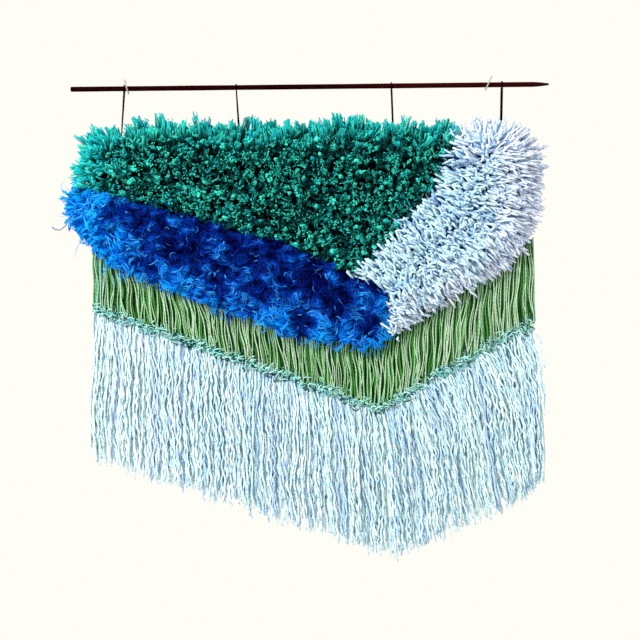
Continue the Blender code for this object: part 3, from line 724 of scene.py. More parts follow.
lavenderSet = {
    "seed": 21, "spacing": 4.1, "rimSpacing": 3.9,
    "freeReach": 13.0, "seamReach": 1.5, "edgeUneven": 3.0, "unevenLength": 30.0,
    "shoulder": 40.0, "seamShoulder": 16.0, "edgeHeight": 16.0, "middleHeight": 34.0, "seamDrop": 3.0,
    "lump": 2.5, "lumpLength": 40.0, "smallLumps": 0.4, "heightSpread": 3.6,
    "holeLength": 12.0, "holeLevel": 1.4,
    "lean": (8.0, 11.0), "fan": 12.0, "fanWidth": 34.0, "wander": (22.0, 4.0), "scatter": 3.4,
    "hook": (0.8, 7.0), "lockSpacing": 11.0, "lockPull": 0.42, "castWidth": 48.0,
    "sides": 4, "radius": 1.55, "flankShade": 0.2,
    # The rings of a strand from root to tip: place, thickness, shade, least shade where the cast is full
    "ringPlaces": (0.0, 0.4, 0.62, 0.76, 0.88, 1.0), "profile": (0.7, 0.95, 1.0, 1.05, 1.05, 0.92),
    "ringShade": (0.0, 0.28, 0.76, 0.97, 1.0, 1.0), "castShade": (0.1, 0.5, 0.84, 0.97, 1.0, 1.0),
    # Where the pile is lighter towards its lower end, and where the cast grows to the right and to the top
    "lowLight": 1.35, "lowBand": (-150.0, -220.0), "rightBand": (205.0, 255.0), "topBand": (-122.0, -82.0),
    "coreCell": 6.0, "coreOver": 2.0, "coreTuck": 5.0, "coreShare": 0.45, "coreLump": 1.5, "coreBackShade": 1.0,
    # The crest that the long strands lean away from. Columns: x, height
    "crest": [(226.0, -92.0), (205.0, -165.0), (150.0, -226.0), (112.0, -268.0), (84.0, -330.0)],
    "crestBlend": 26.0,
    "surface": (0.3, 0.3, 0.75, 0.1),
    "look": plainLook | {
        "Deep Shade": (0.006, 0.045, 0.19), "Shadow": (0.0, 0.10, 0.78), "Middle": (0.36, 0.59, 0.82),
        "Body": (0.69, 0.92, 0.95), "Light": (0.75, 0.98, 0.98), "Cast": (0.98, 0.88, 0.98),
        "Pitch": 3.5, "Groove Shade": 0.14, "Cast Amount": 0.85, "Fleck": 0.4, "Shade Slots": 0.6,
    },
    "matLook": {
        "Deep Shade": (0.01, 0.05, 0.16), "Middle": (0.05, 0.18, 0.44), "Body": (0.5, 0.62, 0.85),
        "Cast": (0.5, 0.5, 0.8),
    },
}


def awayFromLine(points, line):
    line = np.array(line)
    best, away = np.full(len(points), np.inf), np.zeros_like(points)
    for start, end in zip(line, line[1:]):
        gap = gapsFrom(points, start, end)
        distance = np.linalg.norm(gap, axis=1)
        away = np.where((distance < best)[:, None], gap, away)
        best = np.minimum(best, distance)
    return unit(away), best


def makeLavender():
    sizes = lavenderSet
    draw = np.random.default_rng(sizes["seed"])
    tips = spreadTips(lavenderOutline, sizes, draw)
    points = tips["points"]
    x, z = points.T
    count = len(points)
    way, reach = awayFromLine(points, sizes["crest"])
    turned = draw.uniform(0, 1, count) < 0.5 * np.exp(-reach / sizes["crestBlend"])
    way = np.where(turned[:, None], -way, way)
    lean = sizes["lean"][0] + np.minimum(reach * 0.3, sizes["lean"][1])
    fan = sizes["fan"] * ramp(1 - tips["depth"] / sizes["fanWidth"])
    wanderLength, wanderSize = sizes["wander"]
    shift = way * lean[:, None] + tips["outward"] * fan[:, None]
    shift += wander(points, wanderLength, 15) * wanderSize + draw.normal(0, sizes["scatter"], points.shape)
    roots = onWall(onCanvas(points - shift), canvasSet["front"])
    moved = points + gathered(points, sizes["lockSpacing"], draw)[1] * sizes["lockPull"]
    ends = onWall(moved, canvasSet["front"] + tips["height"])
    paths = bentPaths(roots, ends, sizes["ringPlaces"], 0.95)

    # The last part of each strand curls to one side, a few of them a long way round
    hookAngle = draw.uniform(0, math.tau, count)
    hookSize = between(sizes["hook"], draw.beta(1.1, 2.2, count))
    hookTurn = draw.choice([-1.0, 1.0], count) * draw.uniform(0.3, 1.3, count)
    for ring, share in ((3, 0.25), (4, 0.7), (5, 1.1)):
        angle = hookAngle + hookTurn * (share - 0.25)
        paths[:, ring] += ways(angle, 0.3 * np.sin(angle * 2)) * (hookSize * share)[:, None]
    profile = np.array(sizes["profile"]) * sizes["radius"]
    radii = profile * draw.uniform(0.7, 1.2, (count, 1))
    tone = draw.beta(1.2, 1.0, count) * (1 - 0.7 * (draw.uniform(0, 1, count) < 0.12))
    # Painted shade: strands that stand lower than their neighbours are darker, and so are patches; towards
    # the lower end and where the cast shows there is less of it
    standing = (tips["height"] - pileFields(points, lavenderOutline, sizes)["height"]) / sizes["heightSpread"]
    lit = np.clip(1.0 + 0.26 * np.clip(standing, -2, 0), 0.55, 1)
    lit = np.maximum(lit, sizes["lowLight"] * ramp(z, *sizes["lowBand"]))
    lit *= 1 - 0.5 * np.clip(waves(x, z, 26.0, 18) - 0.8, 0, 0.8)
    cast = 1 - tips["depth"] / sizes["castWidth"] + 0.3 * waves(x, z, 40.0, 17)
    atRight, atTop = ramp(x, *sizes["rightBand"]), np.minimum(ramp(z, *sizes["topBand"]), 0.8)
    cast = ramp(np.maximum.reduce([cast, atRight, atTop]))
    shade = np.maximum(lit[:, None] * sizes["ringShade"], cast[:, None] * sizes["castShade"])
    tone *= 1 - 0.65 * cast
    yarn = yarnFor("lavenderYarn", "lavender_yarn", "lavender_pile", sizes)
    sew("lavenderStrands", yarn, paths, radii, sizes["sides"], 0.8, shade, tone, cast, flankShade=sizes["flankShade"])
    makeCore("lavenderCore", lavenderOutline, sizes, yarn, lambda x, z, free: (0.0, 0.3))
    print("lavender strands:", count)
    return yarn


lavenderYarn = makeLavender()

blueSet = {
    "seed": 31, "lockSpacing": 7.95, "freeReach": 9.0,
    "shoulder": 45.0, "seamShoulder": 26.0, "edgeHeight": 15.0, "middleHeight": 29.0, "seamDrop": 11.0,
    "lump": 2.9, "lumpLength": 38.0, "smallLumps": 0.75,
    # The fibres of a lock, and the two shapes of a fibre from ring to ring
    "fibres": 6, "rings": 7, "radius": 0.75, "length": (13.0, 28.0), "edgeShorter": 0.5, "ownBend": 0.08,
    "spread": (0.9, 2.4), "wave": (0.2, 0.8), "arch": (1.0, 6.0),
    "closing": (0.75, 1.0, 0.97, 0.85, 0.65, 0.4, 0.12),
    "profile": (0.6, 0.95, 1.1, 1.05, 0.9, 0.65, 0.3),
    # Loose hairs and thicker curls: how many, then the ranges of their length, rise and arch
    "strays": (120, (12.0, 24.0), (-3.0, 3.0), (0.0, 3.0)),
    "curls": (280, (8.0, 17.0), (1.5, 3.5), (0.0, 3.0)),
    "curlRadius": (0.7, 1.25), "curlProfile": (0.25, 0.7, 1.0, 1.1, 0.95, 0.6, 0.2),
    # Near the free edge a share of the locks points outwards, left of leftEnd all of them. Some are lighter
    "leftEnd": -240.0, "leftEdge": 30.0, "edge": 15.0, "spiky": 0.55,
    "lightShare": 0.3, "lightTone": (0.3, 0.9), "darkTone": (0.0, 0.2),
    # Where the azure grows to the left and to the right
    "leftBand": (-205.0, -265.0), "rightBand": (78.0, 100.0),
    "coreCell": 3.4, "coreOver": 6.0, "coreTuck": 4.0, "coreShare": 0.92, "coreLump": 1.6, "coreBackShade": 0.6,
    # The routes of the loose hairs at the left. Columns: x, distance out, height
    "hairRadius": 0.55,
    "looseHairs": [
        [(-298, 16, -158), (-305, 17, -165), (-309, 17, -174), (-316, 18, -180), (-323, 18, -179),
         (-326, 18, -176)],
        [(-289, 16, -134), (-293, 17, -132.5), (-298, 17, -130), (-302, 17, -127)],
    ],
    "surface": (0.2, 0.2, 0.8, 0.05),
    "look": plainLook | {
        "Deep Shade": (0.0, 0.001, 0.085), "Shadow": (0.0, 0.002, 0.08), "Middle": (0.0, 0.030, 0.32),
        "Body": (0.0, 0.15, 0.76), "Light": (0.06, 0.48, 0.95), "Cast": (0.0, 0.37, 1.0),
        "Plies": 1.0, "Pitch": 9.0, "Groove Shade": 0.0, "Lightness": 0.9, "Cast Amount": 1.0, "Fleck": 0.4,
        "Shade Slots": 0.0,
    },
    "matLook": {
        "Deep Shade": (0.0, 0.0009, 0.045), "Middle": (0.0, 0.024, 0.27), "Body": (0.0, 0.11, 0.6),
        "Cast": (0.0, 0.22, 0.85),
    },
}


def blueAzureAndLight(x, z, free):
    # How much of the lighter azure shows, partly the wool's own colour and partly painted light: most at the
    # left end and along the lower edge
    ends = np.maximum(ramp(x, *blueSet["leftBand"]), ramp(x, *blueSet["rightBand"]) * 0.9)
    return ramp(np.maximum(ends, ramp(1 - free / 30.0) * 0.5) + 0.3 * waves(x, z, 45.0, 35))


def bluePaintedLight(x, z, free):
    # Painted light and shade on the wool: lit on its lumps, navy shade between them and in the shadow under
    # the teal, lighter along the lower edge and where the azure shows
    lower = 1 - ramp(free, 0, 65)
    patches = 0.23 * lumpsOf(x, z, blueSet) + 0.16 * waves(x, z, 75.0, 36)
    azure = blueAzureAndLight(x, z, free)
    return np.clip(0.20 + patches + 0.46 * lower + 0.6 * azure, 0.02 + 0.8 * azure**2, 1)


def woolPaths(starts, outward, edge, offset, bend, length, lift, arch):
    # Fibres that run round the lumps of the wool, or outwards near its edge, each with its own bend
    rings = blueSet["rings"]
    x, z = starts.T.copy()
    step = length / (rings - 1)
    places = [np.stack([x, z], 1)]
    for ring in range(1, rings):
        slopeX = lumpsOf(x + 0.5, z, blueSet) - lumpsOf(x - 0.5, z, blueSet)
        slopeZ = lumpsOf(x, z + 0.5, blueSet) - lumpsOf(x, z - 0.5, blueSet)
        way = unit(np.stack([-slopeZ, slopeX], 1)) * (1 - edge)[:, None] + outward * edge[:, None]
        angle = np.arctan2(way[:, 1], way[:, 0]) + offset + bend * step * ring
        x, z = x + np.cos(angle) * step, z + np.sin(angle) * step
        places.append(np.stack([x, z], 1))
    places = np.stack(places, 1)
    ground = pileFields(places.reshape(-1, 2), blueOutline, blueSet)["height"].reshape(-1, rings)
    rise = arch[:, None] * np.sin(np.pi * np.linspace(0, 1, rings) ** 0.8)
    height = np.maximum(ground * blueSet["coreShare"] + lift[:, None] + rise, 4.0)
    return onWall(places, canvasSet["front"] + height)


def makeBlue():
    sizes = blueSet
    draw = np.random.default_rng(sizes["seed"])
    grid = hexGrid(cornersOf(blueOutline), 0.0, sizes["lockSpacing"], 0.42, draw)
    fields = pileFields(grid, blueOutline, sizes)
    keep = fields["inside"] | (np.abs(fields["free"]) < 2.0) | (fields["seam"] < 3.0)
    points, free, outward = (fields[key][keep] for key in ("points", "free", "outward"))
    locks, fibres, rings = len(points), sizes["fibres"], sizes["rings"]

    # Every lock is a bundle of fibres that close up to a tip, and some locks are lighter than the rest
    bright = draw.uniform(0, 1, locks) < sizes["lightShare"]
    light, dark = (draw.uniform(*sizes[key], locks) for key in ("lightTone", "darkTone"))
    lockTone = np.where(bright, light, dark)
    atLeft = points[:, 0] < sizes["leftEnd"]
    spiky = draw.uniform(0, 1, locks) < np.where(atLeft, 1.0, sizes["spiky"])
    edge = ramp(1.1 - free / np.where(atLeft, sizes["leftEdge"], sizes["edge"])) * spiky
    flip = np.where((draw.uniform(0, 1, locks) < 0.5) & (edge < 0.4), math.pi, 0.0)
    offset, bend = flip + draw.normal(0, 0.5, locks), draw.normal(0, sizes["ownBend"], locks)
    length, arch = draw.uniform(*sizes["length"], locks), draw.uniform(*sizes["arch"], locks)
    length *= 1 - sizes["edgeShorter"] * edge
    middles = woolPaths(points, outward, edge, offset, bend, length, draw.normal(0.8, 0.9, locks), arch)
    middles, total = np.repeat(middles, fibres, axis=0), locks * fibres
    apart = draw.normal(0, 1, (total, 1, 3)) * np.array([1.0, 0.45, 1.0])
    apart *= np.repeat(draw.uniform(*sizes["spread"], locks), fibres)[:, None, None]
    share = np.linspace(0, 1, rings)[None, :, None]
    turn = (share * draw.uniform(0.6, 2.4, (total, 1, 1)) + draw.uniform(0, 1, (total, 1, 1))) * math.tau
    wave = np.concatenate([np.sin(turn), np.cos(turn) * 0.5, np.cos(turn + 1.0)], 2)
    wave *= draw.uniform(*sizes["wave"], (total, 1, 1))
    slide = draw.normal(0, 2.0, (total, 1, 1)) * unit(np.gradient(middles, axis=1))
    paths = middles + apart * np.array(sizes["closing"])[:, None] + wave + slide
    profile = np.array(sizes["profile"]) * sizes["radius"]
    radii = profile * draw.uniform(0.55, 1.25, (total, 1))
    tone = np.repeat(lockTone, fibres) + draw.normal(0, 0.14, total)

    # Loose hairs that stand out over the free edge
    strays, *ranges = sizes["strays"]
    pick = draw.choice(np.flatnonzero(free < 12), strays)
    starts = points[pick] + draw.normal(0, 3, (strays, 2))
    offset, bend = draw.normal(0, 0.7, strays), draw.normal(0, 0.07, strays)
    length, lift, arch = (draw.uniform(*ends, strays) for ends in ranges)
    hairs = woolPaths(starts, outward[pick], np.ones(strays), offset, bend, length, lift, arch)

    # Thicker curls, lighter than the wool under them
    curls, *ranges = sizes["curls"]
    pick = draw.choice(locks, curls)
    starts, offset = points[pick] + draw.normal(0, 4, (curls, 2)), draw.uniform(0, math.tau, curls)
    bend = draw.choice([-1, 1], curls) * draw.uniform(0.06, 0.2, curls)
    length, lift, arch = (draw.uniform(*ends, curls) for ends in ranges)
    curlPaths = woolPaths(starts, outward[pick], np.zeros(curls), offset, bend, length, lift, arch)
    curlRadii = np.array(sizes["curlProfile"]) * draw.uniform(*sizes["curlRadius"], (curls, 1))
    paths = np.concatenate([paths, hairs, curlPaths])
    radii = np.concatenate([radii, profile * draw.uniform(0.3, 0.5, (strays, 1)), curlRadii])
    tone = np.concatenate([tone, draw.uniform(0.1, 0.6, strays), draw.uniform(0.5, 1.5, curls)])
    flat = paths[..., ::2].reshape(-1, 2)
    reach = edgeFields(flat, blueOutline, True)[0]
    light, cast = (field(*flat.T, reach).reshape(-1, rings) for field in (bluePaintedLight, blueAzureAndLight))
    # The curls keep some light in the navy shade; every fibre has painted shade at both ends
    light[-curls:] = np.maximum(light[-curls:], draw.uniform(0.25, 0.6, (curls, 1)))
    shade = light * (0.72 + 0.42 * np.sin(np.pi * np.linspace(0, 1, rings))) + 0.5 * tone[:, None] * light
    yarn = yarnFor("blueWool", "blue_wool", "blue_locks", sizes)
    order = draw.permutation(len(paths))
    names = ("blueFibresInner", "blueFibresOuter")
    sewInTwo(names, yarn, order, len(order) // 2, paths, radii, 1.0, shade, tone * 0.6, cast)
    hairs = []
    for route in sizes["looseHairs"]:
        marks = np.linspace(0, len(route) - 1, 16)
        hairs.append(np.stack([np.interp(marks, np.arange(len(route)), values) for values in zip(*route)], 1))
    hairs = np.stack(hairs) * np.array([1, -1, 1])
    sew("looseHairs", yarn, hairs, np.full(hairs.shape[:2], sizes["hairRadius"]), 5, 1.0, 0.2, 0.0, 0.0)

    def matFields(x, z, free):
        return blueAzureAndLight(x, z, free), bluePaintedLight(x, z, free) * 0.85

    makeCore("blueCore", blueOutline, sizes, yarn, matFields)
    print("blue locks:", locks, "fibres:", len(paths))
    return yarn


blueYarn = makeBlue()

# Fringes
loopSet = {
    "seed": 41, "right": 285.0, "segments": 11, "flankShade": 0.9, "fallLength": 88.0,
    # Heights at the left, at the point of the V and at the right
    "roots": (-195.0, -327.0, -200.0),
    "ends": (-280.0, -411.0, -304.0),
    # Columns of the layers: distance out, spacing of the legs, radius, shade, lightest tone, own lean
    "layers": [
        (8.7, 3.0, 1.3, 0.16, 0.0, 1.0),
        (10.0, 3.6, 1.2, 0.55, 0.4, 1.6),
        (11.5, 4.2, 1.0, 1.0, 1.0, 2.2),
        (12.9, 5.6, 0.95, 1.0, 1.0, 4.2),
    ],
    # Straight strands under the loops, dark with painted shade, which fill the gaps between them
    "under": {"out": 7.4, "spacing": 2.2, "radius": 1.6, "shade": 0.08, "rings": 6},
    # How much of what hangs out past the sides stays there
    "overflow": 0.15,
    # Sideways lean over the whole length. Columns: x, lean
    "lean": [(-276, 1), (-235, 9), (-150, 13), (-60, 11), (88, 0), (200, -9), (283, 3)],
    # How much more each loop's own lean is. Columns: x, factor
    "looser": [(-276, 1), (70, 1), (130, 1.15), (282, 1.3)],
    # Neighbours that lean together: length of the wave, lean
    "sway": (40.0, 3.2),
    # Nearness to the sides. Columns: x, how near
    "nearSides": [(-266, 1.3), (-232, 0), (100, 0), (180, 1)],
    # How much lighter the loops and the strands under them are there
    "sideLight": (0.3, 4.0),
    "curls": 1300, "curlRadius": 0.9, "curlSize": (1.0, 3.4), "curlOut": (8.5, 14.4),
    "curlTurn": (1.2, 3.8),
    "surface": (0.4, 0.35, 0.75, 0.1),
    "look": plainLook | {
        "Deep Shade": (0.0, 0.012, 0.004), "Shadow": (0.002, 0.030, 0.004), "Middle": (0.06, 0.27, 0.040),
        "Body": (0.31, 0.80, 0.37), "Light": (0.86, 1.0, 0.86), "Cast": (0.18, 0.66, 0.74),
        "Pitch": 5.0, "Groove Shade": 0.18, "Lightness": 1.48, "Fleck": 0.6, "Highlight Specks": 0.2,
    },
    # What differs in the look of the curls at the seam
    "curlLook": {
        "Deep Shade": (0.0, 0.03, 0.03), "Shadow": (0.0, 0.03, 0.05), "Middle": (0.0, 0.13, 0.13),
        "Body": (0.22, 0.72, 0.58), "Light": (0.60, 1.0, 0.92), "Cast": (0.20, 0.80, 0.80),
    },
}


def stationValue(stations, x):
    return np.interp(x, *zip(*stations))


def keptIn(x, least, most):
    # Draws what hangs out past the sides back in, all but a small share
    over = np.maximum(x - most, 0) - np.maximum(least - x, 0)
    return x - over * (1 - loopSet["overflow"])


def loopPath(draw, middle, out, half, ownLean):
    # Two legs down from the canvas, joined by a narrow turn
    sizes = loopSet
    share = np.linspace(0, 1, sizes["segments"])
    swayLength, swaySize = sizes["sway"]
    looser = stationValue(sizes["looser"], middle)
    lean = stationValue(sizes["lean"], middle) + draw.normal(0, ownLean) * looser
    lean += swaySize * float(waves(middle, out * 9.0, swayLength, 45)) * looser
    bottom = alongV(sizes["ends"], middle) + half + draw.normal(0, 2.6)
    drift = waves(np.full_like(share, middle), share * 70.0, 42.0, 42) * 1.2
    narrow = draw.uniform(0.25, 1.0)
    legs = []
    for way in (-1, 1):
        top = alongV(sizes["roots"], middle + way * half) + 2.0
        ripple = np.sin(share * draw.uniform(5, 14) + draw.uniform(0, math.tau)) * draw.uniform(0.3, 1.3)
        bow = np.sin(share * math.pi) * draw.normal(0, 1.8)
        x = middle + way * half * (1 - (1 - narrow) * share**3) + lean * share + draw.normal(0, 0.9)
        x = x + (drift + ripple + bow) * np.minimum(share * 3, 1)
        y = -(out + 1.0 * np.sin(share * math.pi) + draw.normal(0, 0.6) * share)
        legs.append(np.stack([x, y, top + (bottom - top) * share], 1))
    turn = np.linspace(0, math.pi, 6)[1:-1, None]
    centre, arm = (legs[0][-1] + legs[1][-1]) / 2, (legs[0][-1] - legs[1][-1]) / 2
    bend = centre + np.cos(turn) * arm + np.sin(turn) * np.array([0, 0, -max(1.2, abs(arm[0]))])
    path = np.concatenate([legs[0], bend, legs[1][::-1]])
    path[:, 0] = keptIn(path[:, 0], canvasSet["left"], sizes["right"])
    return path


def makeLoops():
    sizes = loopSet
    draw = np.random.default_rng(sizes["seed"])
    left, right = canvasSet["left"], sizes["right"]
    loops, columns = [], []
    for out, pitch, thick, lit, lightest, ownLean in sizes["layers"]:
        for middle in np.arange(left + 2 + draw.uniform(0, pitch), right, pitch * 2):
            loops.append(loopPath(draw, middle + draw.normal(0, pitch * 0.14), out, pitch / 2, ownLean))
            radius, shade = thick * draw.uniform(0.8, 1.12), lit * draw.uniform(0.85, 1.1)
            columns.append((radius, shade, lightest * draw.beta(1.5, 0.8)))
    paths = np.stack(loops)
    radius, shade, tone = np.array(columns).T[..., None]
    fall = (alongV(sizes["roots"], paths[..., 0]) - paths[..., 2]) / sizes["fallLength"]
    cast = np.clip((fall - 0.8) * 4.5, 0, 0.85) + np.clip((-225 - paths[..., 0]) / 40, 0, 0.8)
    loopLight, underLight = sizes["sideLight"]
    nearSides = stationValue(sizes["nearSides"], paths[..., 0])
    # Painted shade near the top, under the pile, and less of it near the sides
    shade = shade * (0.62 + 0.38 * ramp(fall * 3)) * (1 + loopLight * nearSides)
    yarn = yarnFor("greenYarn", "green_yarn", "green_loops", sizes)
    radii = np.broadcast_to(radius, fall.shape)
    sew("greenLoops", yarn, paths, radii, 5, 0.3, shade, tone[:, 0], cast, flankShade=sizes["flankShade"])

    under = sizes["under"]
    x0 = np.arange(left + 1.5, right - 1.5, under["spacing"])
    share = np.linspace(0, 1, under["rings"])
    top = alongV(sizes["roots"], x0)[:, None]
    fallen = top + 2.0 - alongV(sizes["ends"], x0)[:, None] - draw.uniform(1.0, 5.0, (len(x0), 1))
    lean = stationValue(sizes["lean"], x0)[:, None]
    x = x0[:, None] + lean * share + draw.normal(0, 1.2, (len(x0), 1)) * share
    places = np.stack([keptIn(x, left + 1, right - 1), top + 2.0 - fallen * share], 2)
    nearSides = stationValue(sizes["nearSides"], x0)
    dark = under["shade"] * draw.uniform(0.5, 1.6, len(x0)) * (1 + underLight * nearSides)
    radii = np.full(x.shape, under["radius"])
    sew("greenUnder", yarn, onWall(places, under["out"]), radii, 3, 0.3, dark, 0.0, 0.0, wallSideShade)

    # Small curls of yarn where the loops end over the fringe
    count, rings = sizes["curls"], 6
    least, most = sizes["curlOut"]
    x = draw.uniform(left + 1, right + 1, count)
    z = alongV(sizes["ends"], x) + draw.normal(0.0, 3.9, count) + 2.0 * waves(x, x * 0, 34.0, 44)
    turn = np.linspace(0, 1, rings) * draw.uniform(*sizes["curlTurn"], (count, 1))
    turn = turn + draw.uniform(0, math.tau, (count, 1))
    size = draw.uniform(*sizes["curlSize"], (count, 1))
    slip = np.linspace(-1, 1, rings) * draw.normal(0, 2.0, (count, 1))
    out = draw.uniform(least, most, (count, 1)) + np.sin(turn) * 0.8
    across = keptIn(x[:, None] + np.cos(turn) * size + slip, left - 1, right + 1)
    places = np.stack([across, z[:, None] + np.sin(turn) * size * 0.9], 2)
    radii = np.full((count, rings), sizes["curlRadius"]) * draw.uniform(0.7, 1.25, (count, 1))
    front = (out[:, 0] - least) / (most - least)
    shade, tone = front * draw.uniform(0.9, 2.0, count), draw.beta(1.2, 1.0, count) * front
    cast = draw.beta(1.5, 1.5, count) + 0.5 * (x < -200) + 0.3 * waves(x, z, 50.0, 43)
    material = groupMaterial("greenCurlYarn", yarnGroup, sizes["look"] | sizes["curlLook"], sizes["surface"])
    sew("greenCurls", (material, *yarn[1:]), onWall(places, out), radii, 3, 0.6, shade, tone, cast)
    print("green loops:", len(loops), "straight strands under them:", len(x0), "curls:", count)
    return yarn


greenYarn = makeLoops()

fringeSet = {
    "seed": 51, "right": 291.0, "rings": 33, "nearest": 2.4,
    # The lower ends as in the loops, how uneven they are, and how much longer some strands are
    "ends": (-468.0, -597.0, -499.0), "endSpread": 5.5, "longer": 9.0,
    # Columns of the layers: distance out at the hem, spacing, radius, shade, lightest tone
    "layers": [
        (3.4, 2.4, 1.9, 0.45, 0.0),
        (4.7, 3.0, 1.75, 0.95, 0.7),
        (6.1, 3.4, 1.65, 1.0, 1.0),
        (7.5, 4.2, 1.55, 1.0, 1.0),
    ],
    # Shorter strands in front that fan out at the right. Ranges: least, most
    "fan": {"count": 80, "x": (110.0, 268.0), "length": (50.0, 130.0), "lean": (16.0, 48.0), "out": 8.4},
    # Sideways lean over the whole length. Columns: x, lean
    "lean": [(-276, -6), (-120, 3), (60, 14), (110, 26), (180, 38), (235, 42), (283, 14)],
    "leanPower": 0.65,
    # Strands that cling together: width of a clump, its own swing, bend, shade and cast
    "clump": {"width": 14.0, "swing": 4.5, "bend": 2.2, "shade": 0.2, "cast": 0.9},
    # How far the strands next to the wall stray against the others, which closes the gaps between those
    "wallStray": 0.45,
    # Each strand's own stray: at its end, and as a belly
    "stray": (4.6, 2.2), "patchLength": 34.0, "castSpread": (-0.55, 0.35), "castPatches": 0.5, "topCast": 0.4,
    # Columns of each strand's own bends: shortest and longest wavelength, size
    "bends": [(45.0, 90.0, 1.4), (14.0, 27.0, 1.35)],
    # Strands that stay in the shade: their share, how light they are
    "dim": (0.05, 0.5),
    # Short dashes of shade on each strand: their share and light, and the light of the strands at the wall
    "dashes": (0.3, 0.72, 2.1),
    # Less of the lightest tone where the cast shows, more light at the left, more cast at the right
    "castOverTone": 0.75, "leftLight": 0.35, "leftBand": (-150.0, -250.0), "rightBand": (120.0, 200.0),
    "surface": (0.35, 0.3, 0.8, 0.1),
    "look": plainLook | {
        "Deep Shade": (0.01, 0.08, 0.17), "Shadow": (0.03, 0.10, 0.66), "Middle": (0.50, 0.75, 0.88),
        "Body": (0.72, 0.97, 0.96), "Light": (0.82, 1.0, 0.98), "Cast": (0.42, 0.50, 0.96),
        "Pitch": 4.2, "Groove Shade": 0.08, "Cast Amount": 0.85, "Fleck": 0.2, "Shade Slots": 0.55,
    },
}


def makeFringe():
    sizes = fringeSet
    draw = np.random.default_rng(sizes["seed"])
    rows = []
    for layer, (out, *rest) in enumerate(sizes["layers"]):
        spacing = rest[0]
        x = np.arange(canvasSet["left"] + 1 + draw.uniform(0, spacing), canvasSet["right"] - 1, spacing)
        x = x + draw.normal(0, spacing * 0.4, len(x))
        rows.append(np.stack(np.broadcast_arrays(x, out, layer, *rest[1:])))
    fan = sizes["fan"]
    fanCount, radius = fan["count"], sizes["layers"][-1][2]
    x = draw.uniform(*fan["x"], fanCount)
    rows.append(np.stack(np.broadcast_arrays(x, fan["out"], len(rows), radius, 1.0, 1.0)))
    x0, out0, layer, radius, shade0, lightest = np.concatenate(rows, axis=1)
    count, rings = len(x0), sizes["rings"]
    share = np.linspace(0, 1, rings)
    top = alongV(canvasSet["hem"], x0) - 1.0
    bottom = alongV(sizes["ends"], x0) + draw.normal(0, sizes["endSpread"], count)
    bottom += np.maximum(draw.normal(0, sizes["longer"], count), 0)
    lean = stationValue(sizes["lean"], x0)
    bottom[-fanCount:] = top[-fanCount:] - draw.uniform(*fan["length"], fanCount)
    lean[-fanCount:] = draw.uniform(*fan["lean"], fanCount)
    drop = (top - bottom)[:, None] * share
    clump = sizes["clump"]
    number = np.floor((x0 + layer * 4.7 + draw.normal(0, 2.5, count)) / clump["width"]) + 1000 * layer
    clumps, member = np.unique(number, return_inverse=True)
    swing, bend, dim, tint = (draw.normal(0, 1, len(clumps))[member][:, None] for _ in range(4))
    onWallSide = layer < 0.5
    loose = np.where(onWallSide, sizes["wallStray"], 1.0)[:, None]
    flow = waves(x0[:, None], drop * 0.6, 60.0, 61) * 1.4
    flow = flow + clump["bend"] * np.sin(drop / 34.0 + bend * 4.0) * loose
    for shortest, longest, size in sizes["bends"]:
        turn = drop / draw.uniform(shortest, longest, (count, 1)) * math.tau
        turn = turn + draw.uniform(0, math.tau, (count, 1))
        flow = flow + np.sin(turn) * size * draw.uniform(0.25, 1.3, (count, 1)) * loose
    endStray, belly = sizes["stray"]
    stray = draw.normal(0, endStray, (count, 1)) + swing * clump["swing"]
    stray = stray * loose * share * (1 - 0.4 * share)
    rise = np.minimum(share * draw.uniform(1, 4, (count, 1)), 1)
    stray += draw.normal(0, belly, (count, 1)) * np.sin(np.pi * rise)
    settle = np.minimum(share * 7, 1)
    x = x0[:, None] + lean[:, None] * share ** sizes["leanPower"] + (flow + stray) * settle
    x = keptIn(x, canvasSet["left"] - 1 - 5 * share, sizes["right"] + 6 * share)
    front = np.clip(layer[:, None] - 0.6, -0.4, 2.4)
    out = out0[:, None] + 1.7 * np.sin(share * 2.4) * front + np.cos(turn) * 1.3 * settle
    z = top[:, None] - drop
    profile = np.append(np.ones(rings - 2), (0.85, 0.5))
    radii = profile * (radius * draw.uniform(0.8, 1.2, count))[:, None]
    tone = lightest * draw.beta(1.6, 0.9, count) + draw.uniform(0, 0.05, count)
    patches = waves(x, z, sizes["patchLength"], 63)
    cast = draw.normal(*sizes["castSpread"], (count, 1)) + sizes["castPatches"] * np.clip(patches, 0, 1.5)
    cast += sizes["topCast"] * ramp(1 - share * 7)
    cast += 0.16 * ramp(x, *sizes["rightBand"]) + clump["cast"] * tint * loose
    # Painted shade: darker at the top under the loops, in patches, in dim clumps and strands and in short
    # dashes, and lighter at the left
    shade = shade0[:, None] * (0.5 + 0.5 * ramp(share * 10)) * (1 - 0.12 * np.clip(patches, -1, 1))
    shade = shade * (1 - clump["shade"] * ramp(dim - 0.3))
    dimShare, dimLight = sizes["dim"]
    shade[(draw.uniform(0, 1, count) < dimShare) & ~onWallSide] *= dimLight
    dashShare, dashLight, wallLight = sizes["dashes"]
    shade = shade * np.where(onWallSide, wallLight, 1.0)[:, None]
    shade = shade * np.where(draw.uniform(0, 1, shade.shape) < dashShare, dashLight, 1.0)
    shade = shade * (1 + sizes["leftLight"] * ramp(x, *sizes["leftBand"]))
    # Painted light down each strand, most at the tips
    tone = tone[:, None] + 0.2 * share + 0.5 * ramp((share - 0.86) / 0.14)
    tone = tone * (1 - sizes["castOverTone"] * ramp(cast))
    yarn = yarnFor("paleYarn", "pale_yarn", "pale_fringe", sizes)
    paths = onWall(np.stack([x, z], 2), np.maximum(out, sizes["nearest"]))
    names, behind = ("paleFringeInner", "paleFringeOuter"), np.where(layer < 2, wallSideShade, 0.0)
    sewInTwo(names, yarn, draw.permutation(count), count // 2, paths, radii, 0.8, shade, tone, cast, behind)
    print("pale strands:", count)
    return yarn


paleYarn = makeFringe()

